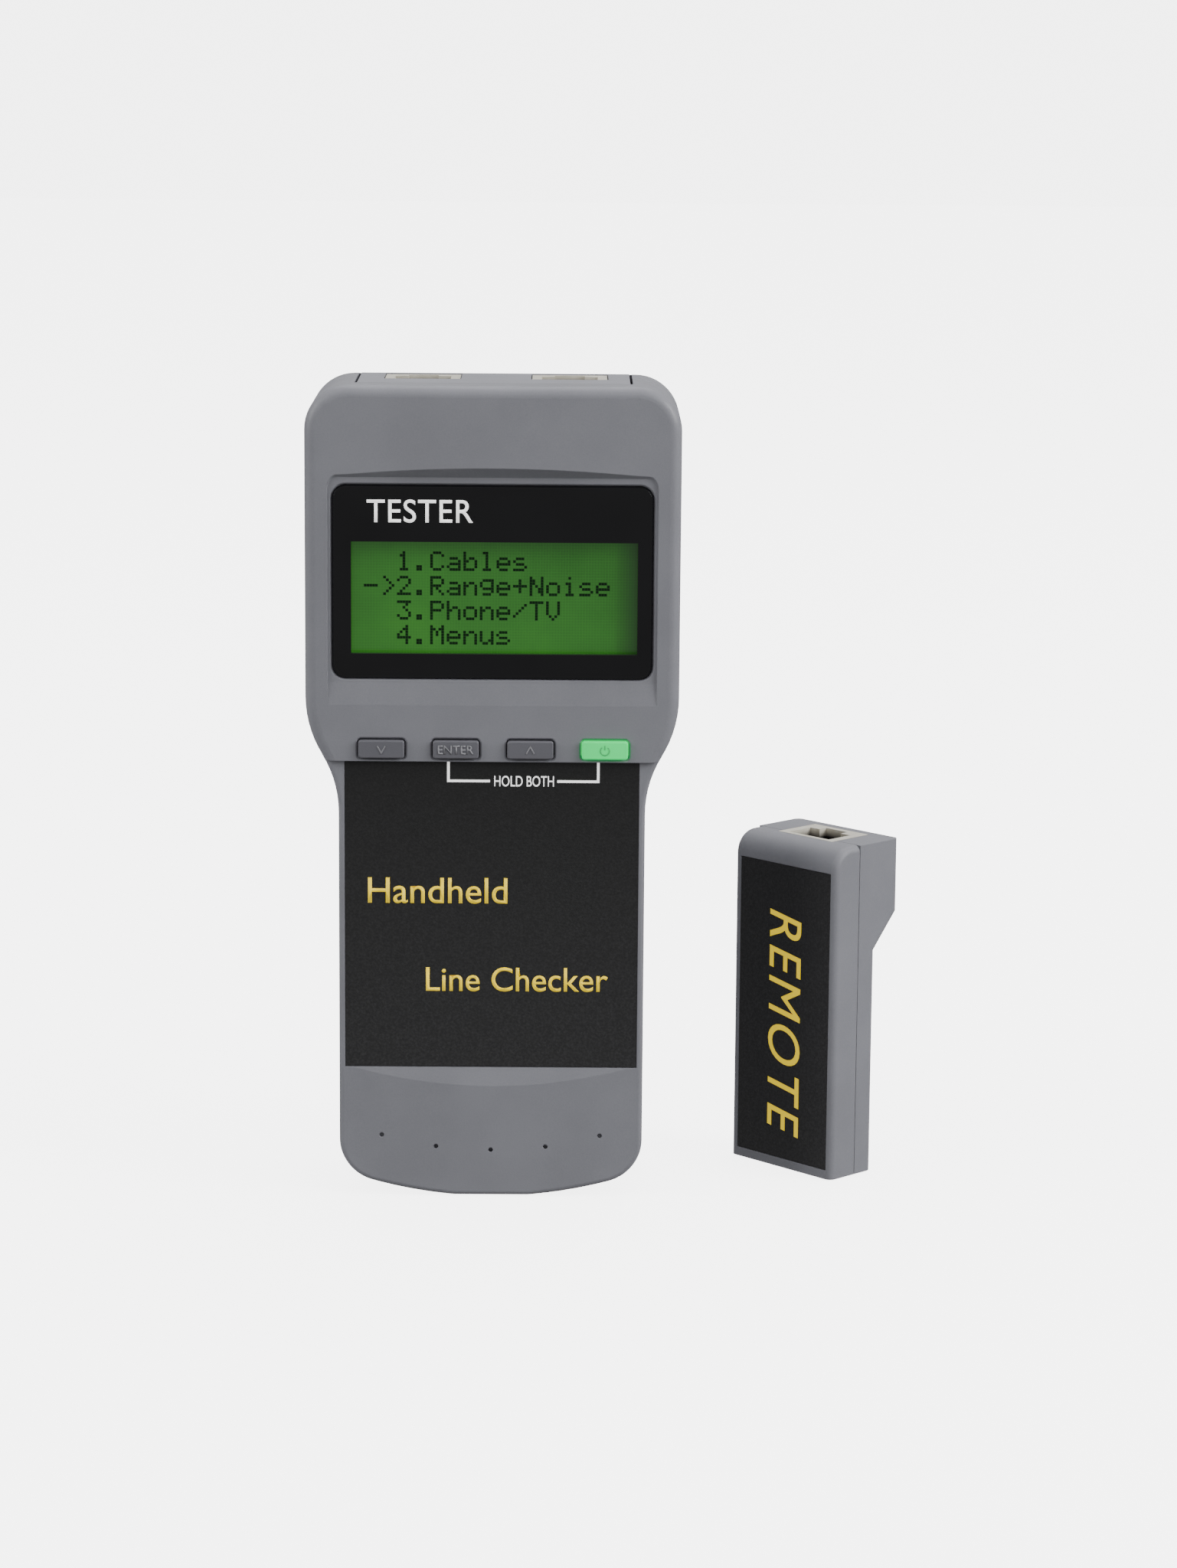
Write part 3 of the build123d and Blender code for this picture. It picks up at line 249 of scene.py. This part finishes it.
def lens_gloss():
    """Back-printed acrylic: near black, mirror gloss, with a few hairline scuffs and a faint painted
    highlight along its edges.
    """
    shader = Shader("lens_gloss")
    scuffs = shader.noise(0.9, 6.0, 0.75)
    rough = shader.ramp(scuffs, ((0.45, (0.035,) * 3), (0.85, (0.12,) * 3)))
    near_black = ((0.2, (0.0045, 0.0045, 0.0052)), (0.8, (0.0075, 0.0075, 0.0085)))
    base = shader.ramp(shader.noise(20.0), near_black)
    lens_edge_highlight, rounded = shader.edges(0.1)
    # Painted highlight: the lens's edges are lightened a little.
    base = shader.mix(shader.math("MULTIPLY", lens_edge_highlight, 0.08), base, (0.10, 0.10, 0.11))
    shader.set(IOR=1.49, Specular_IOR_Level=0.3, Coat_Weight=0.1, Coat_Roughness=0.02)
    return shader.finish(base, rough, shader.bump(shader.noise(5.0, 0.0), 0.003, rounded))


def label_film(top, bottom):
    """Black film with a fine pebbled grain, catching more light towards its foot."""
    shader = Shader("label_film")
    split = shader.node("ShaderNodeSeparateXYZ")
    shader.link(shader.place, split.inputs[0])
    below = shader.math("SUBTRACT", top, split.outputs["Z"])
    down = shader.math("DIVIDE", below, top - bottom, clamp=True)
    pebble = shader.cells(0.42)
    fine = shader.noise(0.2, 3.0, 0.7)
    height = shader.math("ADD", shader.math("MULTIPLY", pebble, 0.9), shader.math("MULTIPLY", fine, 0.5))
    dark_to_light = ((0.42, (0.0085, 0.0085, 0.009)), (0.68, (0.021, 0.021, 0.022)))
    speck = shader.ramp(shader.noise(0.55, 4.0, 0.75), dark_to_light)
    rough = shader.ramp(shader.noise(1.2, 3.0), ((0.3, (0.48,) * 3), (0.8, (0.62,) * 3)))
    sheen = shader.ramp(down, ((0.0, (0.45,) * 3), (0.5, (1.05,) * 3), (1.0, (1.5,) * 3)))
    speck = shader.mix(1.0, speck, sheen, "MULTIPLY")
    return shader.finish(speck, rough, shader.bump(height, 0.03))


def printed(name, colour, glow, rough=0.45):
    """Screen-printed ink, slightly uneven in thickness, with a painted glow of its own colour."""
    shader = Shader(name)
    patchy = shader.noise(0.35, 3.0, 0.6)
    base = shader.ramp(patchy, ((0.3, tint(colour, 0.93)), (0.65, tint(colour, 1.03))))
    # Painted glow: the ink gives off light of its own colour.
    shader.set(Roughness=rough, Emission_Color=(*colour, 1), Emission_Strength=glow)
    return shader.finish(base, None, shader.bump(patchy, 0.006))


def display_glass(middle, half_wide, half_tall):
    """Backlit display: green, with a grid of cells; brighter to the left and foot, partly as uneven
    backlight and partly as painted shade from the window's walls, and with a painted shadow of the lens
    frame over its right edge.
    """
    shader = Shader("display_glass")
    split = shader.node("ShaderNodeSeparateXYZ")
    shader.link(shader.place, split.inputs[0])
    across = shader.math("DIVIDE", shader.math("SUBTRACT", split.outputs["X"], middle.x), half_wide)
    up = shader.math("DIVIDE", shader.math("SUBTRACT", split.outputs["Z"], middle.z), half_tall)
    # Darker to the right and top: partly uneven backlight, partly painted shade from the walls of the
    # display window.
    glow = shader.math("ADD", shader.math("MULTIPLY", across, -0.08), shader.math("MULTIPLY", up, -0.10))
    glow = shader.math("ADD", glow, 0.56)
    cloud = shader.math("MULTIPLY", shader.math("SUBTRACT", shader.noise(11.0, 3.0, 0.6), 0.5), 0.45)
    glow = shader.math("ADD", glow, cloud, clamp=True)
    # Painted shadow of the lens frame, darkening the right edge of the display.
    into_edge = shader.math("DIVIDE", shader.math("SUBTRACT", across, 0.84), 0.16, clamp=True)
    painted_frame_shadow = shader.math("MULTIPLY", into_edge, 0.75)
    greens = ((0.25, (0.010, 0.075, 0.006)), (0.55, (0.020, 0.112, 0.012)), (0.85, (0.026, 0.150, 0.014)))
    green = shader.ramp(glow, greens)
    stripe = shader.math("FRACT", shader.math("DIVIDE", split.outputs["X"], 0.6 * MM))
    line = shader.math("FRACT", shader.math("DIVIDE", split.outputs["Z"], 0.6 * MM))
    stripe_gap = shader.math("LESS_THAN", stripe, 0.12)
    line_gap = shader.math("LESS_THAN", line, 0.12)
    gap = shader.math("MAXIMUM", stripe_gap, line_gap)
    green = shader.mix(shader.math("MULTIPLY", gap, 0.10), green, (0.06, 0.42, 0.035))
    green = shader.mix(painted_frame_shadow, green, (0.010, 0.030, 0.008))
    shader.link(green, shader.bsdf.inputs["Emission Color"])
    shader.set(Emission_Strength=0.55, Roughness=0.22, Coat_Weight=0.3, Coat_Roughness=0.12)
    return shader.finish(green)


def display_ink():
    """Dark liquid-crystal segments, with a little of the green showing through."""
    shader = Shader("display_ink")
    base = shader.ramp(shader.noise(2.0), ((0.3, (0.003, 0.016, 0.004)), (0.7, (0.004, 0.024, 0.006))))
    shader.set(Roughness=0.3, Specular_IOR_Level=0.15)
    return shader.finish(base, None, shader.bump(shader.noise(0.3), 0.003))


def metal(name, colour, rough=(0.2, 0.38), brushed=True):
    shader = Shader(name)
    stretch = shader.node("ShaderNodeMapping")
    stretch.inputs["Scale"].default_value = (1.0, 1.0, 14.0) if brushed else (1.0, 1.0, 1.0)
    shader.link(shader.place, stretch.inputs["Vector"])
    grain = shader.node("ShaderNodeTexNoise")
    grain.inputs["Scale"].default_value = 1 / (0.8 * MM)
    grain.inputs["Detail"].default_value = 4.0
    shader.link(stretch.outputs["Vector"], grain.inputs["Vector"])
    base = shader.ramp(grain.outputs["Fac"], ((0.3, tint(colour, 0.82)), (0.7, tint(colour, 1.05))))
    gloss = shader.ramp(grain.outputs["Fac"], ((0.3, (rough[0],) * 3), (0.7, (rough[1],) * 3)))
    _, rounded = shader.edges(0.08)
    shader.set(Metallic=1.0)
    return shader.finish(base, gloss, shader.bump(grain.outputs["Fac"], 0.004, rounded))


def circuit_board():
    """Green solder mask over copper tracks, which show as raised lighter lines."""
    shader = Shader("circuit_board")
    brick = shader.node("ShaderNodeTexBrick", offset=0.37, squash=0.6, squash_frequency=3)
    brick.inputs["Scale"].default_value = 1 / (5.0 * MM)
    brick.inputs["Mortar Size"].default_value = 0.05
    turned = shader.node("ShaderNodeMapping")
    turned.inputs["Rotation"].default_value = (math.radians(90), 0, 0)
    shader.link(shader.place, turned.inputs["Vector"])
    shader.link(turned.outputs["Vector"], brick.inputs["Vector"])
    base = shader.mix(brick.outputs["Fac"], (0.006, 0.075, 0.022), (0.02, 0.17, 0.045))
    rough = shader.ramp(shader.noise(1.5), ((0.3, (0.28,) * 3), (0.7, (0.4,) * 3)))
    return shader.finish(base, rough, shader.bump(brick.outputs["Fac"], 0.03))


def foam():
    shader = Shader("foam")
    pores = shader.cells(0.5)
    base = shader.ramp(pores, ((0.1, (0.008,) * 3), (0.6, (0.04,) * 3)))
    shader.set(Roughness=0.95)
    return shader.finish(base, None, shader.bump(pores, 0.2))


GREY = (0.222, 0.224, 0.250)
shell_grey = moulded("shell_grey", GREY)
door_grey = moulded("door_grey", tint(GREY, 0.97))
panel_grey = moulded("panel_grey", tint(GREY, 1.12))
# The fifth value, 1.9, lightens the caps' edges strongly, partly as rubbed wear and partly as painted
# highlight.
button_grey = moulded("button_grey", (0.130, 0.130, 0.148), 0.2, 0.006, (0.36, 0.48), 1.9, 0.18)
# The green power button is made to glow a little (glow=0.6), a painted glow.
button_green = moulded("button_green", (0.000, 0.80, 0.17), 0.2, 0.004, (0.32, 0.44), 1.1, 0.18, glow=0.6)
mark_grey = moulded("mark_grey", (0.24, 0.24, 0.26), 0.2, 0.004)
mark_green = moulded("mark_green", (0.05, 0.62, 0.17), 0.2, 0.004)
lens_black = lens_gloss()
label_black = label_film(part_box("handle_label")[1].z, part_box("handle_label")[0].z)
# The inks glow a little (the last value), a painted glow that brightens the print.
yellow_ink = printed("yellow_ink", (0.95, 0.68, 0.010), 0.5)
white_ink = printed("white_ink", (0.93, 0.93, 0.92), 1.0)
display_green = display_glass(main_at(0.4, 0, 130.4), 30.2 * MM, 11.9 * MM)
display_dark = display_ink()
jack_main = jack_plastic("jack_main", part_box("main_jack")[1].z)
jack_remote = jack_plastic("jack_remote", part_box("remote_jack")[1].z)
black_epoxy = smooth_plastic("black_epoxy", (0.018, 0.018, 0.019), 0.5)
battery_jacket = smooth_plastic("battery_jacket", (0.03, 0.045, 0.08), 0.3, coat=0.5)
steel = metal("steel", (0.58, 0.58, 0.57))
gold = metal("gold", (0.83, 0.58, 0.22), (0.15, 0.28), False)
board = circuit_board()
pad_foam = foam()
red_wire = smooth_plastic("red_wire", (0.45, 0.012, 0.010), 0.4)
black_wire = smooth_plastic("black_wire", (0.010, 0.010, 0.010), 0.4)
diode_glass = smooth_plastic("diode_glass", (0.50, 0.13, 0.03), 0.15, coat=0.6)
backlight = smooth_plastic("backlight", (0.30, 0.80, 0.12), 0.3)

FINISHES = {
    shell_grey: ("front_shell", "rear_shell", "remote_front_shell", "remote_rear_shell"),
    door_grey: ("battery_door",),
    panel_grey: ("connector_panel",),
    button_grey: ("button_down", "button_enter", "button_up"),
    button_green: ("button_power",),
    lens_black: ("display_lens",),
    label_black: ("handle_label", "remote_label"),
    display_green: ("lcd_glass",),
    backlight: ("lcd_backlight",),
    jack_main: ("main_jack", "loopback_jack"),
    jack_remote: ("remote_jack",),
    black_epoxy: (
        "lcd_header", "lcd_spacers", "plunger_down", "plunger_enter", "plunger_up", "plunger_power",
        "switch_housings", "microcontroller", "logic_chips", "capacitors", "buzzer", "battery_snap",
    ),
    battery_jacket: ("battery",),
    steel: (
        "lcd_bezel", "board_screws", "microcontroller_leads", "crystal", "battery_studs", "case_screws",
        "remote_screws",
    ),
    gold: ("main_contacts", "loopback_contacts", "remote_contacts"),
    board: ("lcd_board", "main_board", "remote_board"),
    pad_foam: ("battery_pad",),
    red_wire: ("battery_lead_red",),
    black_wire: ("battery_lead_black",),
    diode_glass: ("remote_diodes",),
}


def dress_nodes():
    """Gives every CAD node its material, in each of its slots."""
    for finish, names in FINISHES.items():
        for name in names:
            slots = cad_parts[name].material_slots
            for slot in slots:
                slot.material = finish


dress_nodes()


# ---------------------------------------------------------------------------
# Lettering and marks. Each is thin, closed geometry that lies on its surface.
# ---------------------------------------------------------------------------
def keep(piece, finish, body="main_unit"):
    """Gives a new piece its finish, in one material slot, and parents it to its body."""
    piece.data.materials.clear()
    piece.data.materials.append(finish)
    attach(piece, body)
    return piece


def upright(place, turn=0.0, roll=0.0):
    """Stands a flat piece up to face the front, turned about +Z and rolled in its face."""
    return (
        Matrix.Translation(place)
        @ Matrix.Rotation(turn, 4, "Z")
        @ Matrix.Rotation(math.radians(90), 4, "X")
        @ Matrix.Rotation(roll, 4, "Z")
    )


def lettering(name, text, width, height, place, thick=0.05, bold=0.0, spacing=1.0, slant=0.0):
    """A word as a mesh, scaled so that its box is exactly this wide and tall.

    It is returned with its box centred at the place, as a 4x4 matrix.
    """
    curve = bpy.data.curves.new(name, "FONT")
    curve.body = text
    curve.size = 1.0
    curve.offset = bold
    curve.space_character = spacing
    curve.shear = slant
    curve.resolution_u = 6
    shaped = bpy.data.objects.new(name + "_shape", curve)
    bpy.context.scene.collection.objects.link(shaped)
    bpy.context.view_layer.update()
    graph = bpy.context.evaluated_depsgraph_get()
    mesh = bpy.data.meshes.new_from_object(shaped.evaluated_get(graph))
    bpy.data.objects.remove(shaped)
    xs = [vertex.co.x for vertex in mesh.vertices]
    ys = [vertex.co.y for vertex in mesh.vertices]
    low = Vector((min(xs), min(ys), 0))
    size = Vector((max(xs), max(ys), 0)) - low
    for vertex in mesh.vertices:
        vertex.co.x = ((vertex.co.x - low.x) / size.x - 0.5) * width * MM
        vertex.co.y = ((vertex.co.y - low.y) / size.y - 0.5) * height * MM
        vertex.co.z = 0.0
    mesh.name = name
    piece = bpy.data.objects.new(name, mesh)
    bpy.context.scene.collection.objects.link(piece)
    thicken(piece, thick)
    mesh.transform(place)
    return piece


def thicken(piece, thick_mm):
    """Gives a flat piece in its XY plane a thickness, standing up from the plane."""
    shape = bmesh.new()
    shape.from_mesh(piece.data)
    bmesh.ops.dissolve_limit(shape, angle_limit=0.01, verts=shape.verts, edges=shape.edges)
    flat = list(shape.faces)
    for face in flat:
        if face.normal.z > 0:
            face.normal_flip()
    grown = bmesh.ops.extrude_face_region(shape, geom=flat)
    raised = [item for item in grown["geom"] if isinstance(item, bmesh.types.BMVert)]
    bmesh.ops.translate(shape, vec=(0, 0, thick_mm * MM), verts=raised)
    bmesh.ops.recalc_face_normals(shape, faces=shape.faces)
    shape.to_mesh(piece.data)
    shape.free()


def strokes(name, lines, width, place, thick=0.05):
    """Flat bars of one width along open polylines, mitred at their corners."""
    shape = bmesh.new()
    half = width * MM / 2
    for line in lines:
        points = [Vector((x * MM, y * MM, 0)) for x, y in line]
        sides = []
        for index, point in enumerate(points):
            before = (point - points[index - 1]).normalized() if index else None
            after = (points[index + 1] - point).normalized() if index + 1 < len(points) else None
            along = ((before or after) + (after or before)).normalized()
            normal = Vector((-along.y, along.x, 0))
            straight = after or before
            reach = half / max(0.3, normal.dot(Vector((-straight.y, straight.x, 0))))
            left_side = shape.verts.new(point + normal * reach)
            right_side = shape.verts.new(point - normal * reach)
            sides.append((left_side, right_side))
        for (left, right), (next_left, next_right) in zip(sides, sides[1:]):
            shape.faces.new((left, right, next_right, next_left))
    mesh = bpy.data.meshes.new(name)
    shape.to_mesh(mesh)
    shape.free()
    piece = bpy.data.objects.new(name, mesh)
    bpy.context.scene.collection.objects.link(piece)
    thicken(piece, thick)
    mesh.transform(place)
    return piece


LABEL_FACE = (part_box("handle_label")[0].y - MAIN_Y) / MM
LENS_FACE = (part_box("display_lens")[0].y - MAIN_Y) / MM
GLASS_FACE = (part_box("lcd_glass")[0].y - MAIN_Y) / MM
CAP_FACE = (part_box("button_up")[0].y - MAIN_Y) / MM
REMOTE_LABEL_FACE = 0.05


def add_lettering():
    on_lens = upright(main_at(-15.3, LENS_FACE, 148.8))
    title = lettering("lens_word", "TESTER", 22.3, 4.9, on_lens, bold=0.004, spacing=1.05)
    keep(title, white_ink)
    upper = upright(main_at(-11.5, LABEL_FACE, 67.2))
    first = lettering("label_word_upper", "Handheld", 29.8, 5.6, upper, bold=0.004)
    keep(first, yellow_ink)
    lower = upright(main_at(5.5, LABEL_FACE, 47.8))
    second = lettering("label_word_lower", "Line Checker", 39.0, 5.3, lower, bold=0.004)
    keep(second, yellow_ink)
    between = upright(main_at(6.85, LABEL_FACE, 91.1))
    both = lettering("bracket_word", "HOLD BOTH", 12.7, 2.3, between, bold=0.003)
    keep(both, white_ink)
    ends = [(-9.24, 95.2), (-9.24, 91.1), (-0.4, 91.1)], [(13.9, 91.1), (22.6, 91.1), (22.6, 95.2)]
    bracket = strokes("bracket_lines", ends, 0.55, upright(main_at(0, LABEL_FACE, 0)))
    keep(bracket, white_ink)
    side = upright(remote_at(0.6, REMOTE_LABEL_FACE, 32.8), -REMOTE_TURN, math.radians(-90))
    remote = lettering("remote_word", "REMOTE", 50.5, 9.6, side, bold=0.0, spacing=1.15, slant=0.22)
    keep(remote, yellow_ink, "remote_unit")


add_lettering()

# ---------------------------------------------------------------------------
# Display characters: five by seven dots each, as such modules draw them
# ---------------------------------------------------------------------------
GLYPHS = {
    "1": "..#.. .##.. ..#.. ..#.. ..#.. ..#.. .###.",
    "2": ".###. #...# ....# ...#. ..#.. .#... #####",
    "3": "##### ...#. ..#.. ...#. ....# #...# .###.",
    "4": "...#. ..##. .#.#. #..#. ##### ...#. ...#.",
    ".": "..... ..... ..... ..... ..... .##.. .##..",
    "-": "..... ..... ..... ##### ..... ..... .....",
    ">": ".#... ..#.. ...#. ....# ...#. ..#.. .#...",
    "+": "..... ..#.. ..#.. ##### ..#.. ..#.. .....",
    "/": "..... ....# ...#. ..#.. .#... #.... .....",
    "C": ".###. #...# #.... #.... #.... #...# .###.",
    "M": "#...# ##.## #.#.# #.#.# #...# #...# #...#",
    "N": "#...# ##..# ##..# #.#.# #..## #..## #...#",
    "P": "####. #...# #...# ####. #.... #.... #....",
    "R": "####. #...# #...# ####. #.#.. #..#. #...#",
    "T": "##### ..#.. ..#.. ..#.. ..#.. ..#.. ..#..",
    "V": "#...# #...# #...# #...# #...# .#.#. ..#..",
    "a": "..... ..... .###. ....# .#### #...# .####",
    "b": "#.... #.... #.##. ##..# #...# #...# ####.",
    "e": "..... ..... .###. #...# ##### #.... .###.",
    "g": "..... .#### #...# #...# .#### ....# .###.",
    "h": "#.... #.... #.##. ##..# #...# #...# #...#",
    "i": "..#.. ..... .##.. ..#.. ..#.. ..#.. .###.",
    "l": ".##.. ..#.. ..#.. ..#.. ..#.. ..#.. .###.",
    "n": "..... ..... #.##. ##..# #...# #...# #...#",
    "o": "..... ..... .###. #...# #...# #...# .###.",
    "s": "..... ..... .###. #.... .###. ....# ####.",
    "u": "..... ..... #...# #...# #...# #..## .##.#",
}
ROWS = ("  1.Cables", "->2.Range+Noise", "  3.Phone/TV", "  4.Menus")
CHAR_PITCH = 3.5
ROW_PITCH = 5.24
DOT_PITCH = 0.59
DOT = 0.55
TEXT_LEFT = -27.2
TOP_ROW = 137.9         # middle of the first row


def add_display_text():
    shape = bmesh.new()
    for row, text in enumerate(ROWS):
        top = TOP_ROW - row * ROW_PITCH + 3.5 * DOT_PITCH
        for column, character in enumerate(text):
            if character == " ":
                continue
            left = TEXT_LEFT + column * CHAR_PITCH
            for line, dots in enumerate(GLYPHS[character].split()):
                for place, dot in enumerate(dots):
                    if dot != "#":
                        continue
                    x = left + place * DOT_PITCH
                    z = top - (line + 1) * DOT_PITCH
                    add_dot(shape, x, z)
    mesh = bpy.data.meshes.new("display_text")
    shape.to_mesh(mesh)
    shape.free()
    piece = bpy.data.objects.new("display_text", mesh)
    bpy.context.scene.collection.objects.link(piece)
    keep(piece, display_dark)


def add_dot(shape, x, z):
    """One square dot, a thin box on the glass."""
    corners = []
    for back in (0.0, -0.03):
        for dx, dz in ((0, 0), (DOT, 0), (DOT, DOT), (0, DOT)):
            corners.append(shape.verts.new(main_at(x + dx, GLASS_FACE + back, z + dz)))
    for face in ((3, 2, 1, 0), (4, 5, 6, 7), (0, 1, 5, 4), (1, 2, 6, 5), (2, 3, 7, 6), (3, 0, 4, 7)):
        shape.faces.new([corners[index] for index in face])


add_display_text()


# ---------------------------------------------------------------------------
# Marks moulded on the buttons
# ---------------------------------------------------------------------------
BUTTON_X = {name: (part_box(f"button_{name}")[0].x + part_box(f"button_{name}")[1].x) / 2 / MM - MAIN_X / MM
            for name in ("down", "enter", "up", "power")}
BUTTON_Z = 98.1


def on_button(name):
    """The middle of a button's cap, with the mark's foot just inside it."""
    return upright(main_at(BUTTON_X[name], CAP_FACE + 0.02, BUTTON_Z))


def add_button_marks():
    for name, rise in (("down", -1), ("up", 1)):
        chevron = [[(-0.85, -0.75 * rise), (0, 0.75 * rise), (0.85, -0.75 * rise)]]
        mark = strokes(f"mark_{name}", chevron, 0.3, on_button(name), 0.12)
        keep(mark, mark_grey, f"button_{name}")
    word = lettering("mark_enter", "ENTER", 7.6, 1.9, on_button("enter"), 0.12, 0.01)
    keep(word, mark_grey, "button_enter")
    turns = [math.radians(angle) for angle in range(125, 416, 15)]
    ring = [(0.95 * math.cos(turn), 0.95 * math.sin(turn)) for turn in turns]
    power = strokes("mark_power", [ring, [(0, 0.2), (0, 1.15)]], 0.28, on_button("power"), 0.08)
    keep(power, mark_green, "button_power")


add_button_marks()


# ---------------------------------------------------------------------------
# Floor and light
# ---------------------------------------------------------------------------
PAPER_GLOW = 4.6
PAPER_SIZE = 80.0
SKY_LOW, SKY_MIDDLE, SKY_TOP = 0.30, 0.42, 1.0
SOFT_BOXES = (                   # name, place in metres, size, watts
    ("key", (1.6, -0.6, 0.9), 1.0, 31.0),
    ("fill", (-1.6, -0.5, 0.8), 1.0, 15.0),
    ("top", (0.1, 0.5, 1.6), 1.0, 9.0),
)


def add_studio():
    """White paper floor and wall, evenly lit, under one wide soft sky and three soft boxes."""
    paper = Shader("studio_paper")
    paper.set(Roughness=0.95, Base_Color=(0.80, 0.80, 0.80, 1))
    paper.set(Emission_Color=(1, 1, 1, 1), Emission_Strength=PAPER_GLOW)
    white = paper.finish()
    for name, place, turn in (("floor", (0, 0, -0.0003), 0.0), ("wall", (0, 4.0, 0), 90.0)):
        turned_up = (math.radians(turn), 0, 0)
        bpy.ops.mesh.primitive_plane_add(size=PAPER_SIZE, location=place, rotation=turned_up)
        sheet = bpy.context.object
        sheet.name = name
        sheet.visible_diffuse = False
        sheet.visible_glossy = False
        sheet.data.materials.append(white)
    world = bpy.data.worlds.new("studio")
    world.use_nodes = True
    tree = world.node_tree
    background = tree.nodes["Background"]
    place = tree.nodes.new("ShaderNodeTexCoord")
    split = tree.nodes.new("ShaderNodeSeparateXYZ")
    height = tree.nodes.new("ShaderNodeMapRange")
    ramp = tree.nodes.new("ShaderNodeValToRGB")
    height.inputs["From Min"].default_value = -1.0
    stops = ramp.color_ramp.elements
    stops[0].position, stops[0].color = 0.30, (SKY_LOW, SKY_LOW, SKY_LOW, 1)
    stops[1].position, stops[1].color = 0.95, (SKY_TOP, SKY_TOP, SKY_TOP, 1)
    middle = stops.new(0.55)
    middle.color = (SKY_MIDDLE, SKY_MIDDLE, SKY_MIDDLE, 1)
    tree.links.new(place.outputs["Generated"], split.inputs[0])
    tree.links.new(split.outputs["Z"], height.inputs["Value"])
    tree.links.new(height.outputs["Result"], ramp.inputs["Fac"])
    tree.links.new(ramp.outputs["Color"], background.inputs["Color"])
    background.inputs["Strength"].default_value = 1.0
    bpy.context.scene.world = world
    for name, spot, size, power in SOFT_BOXES:
        light = bpy.data.lights.new(name, "AREA")
        light.size = size
        light.energy = power
        lamp = bpy.data.objects.new(name, light)
        lamp.location = spot
        aim = Vector((0, 0, 0.09)) - Vector(spot)
        lamp.rotation_euler = aim.to_track_quat("-Z", "Y").to_euler()
        bpy.context.scene.collection.objects.link(lamp)


add_studio()
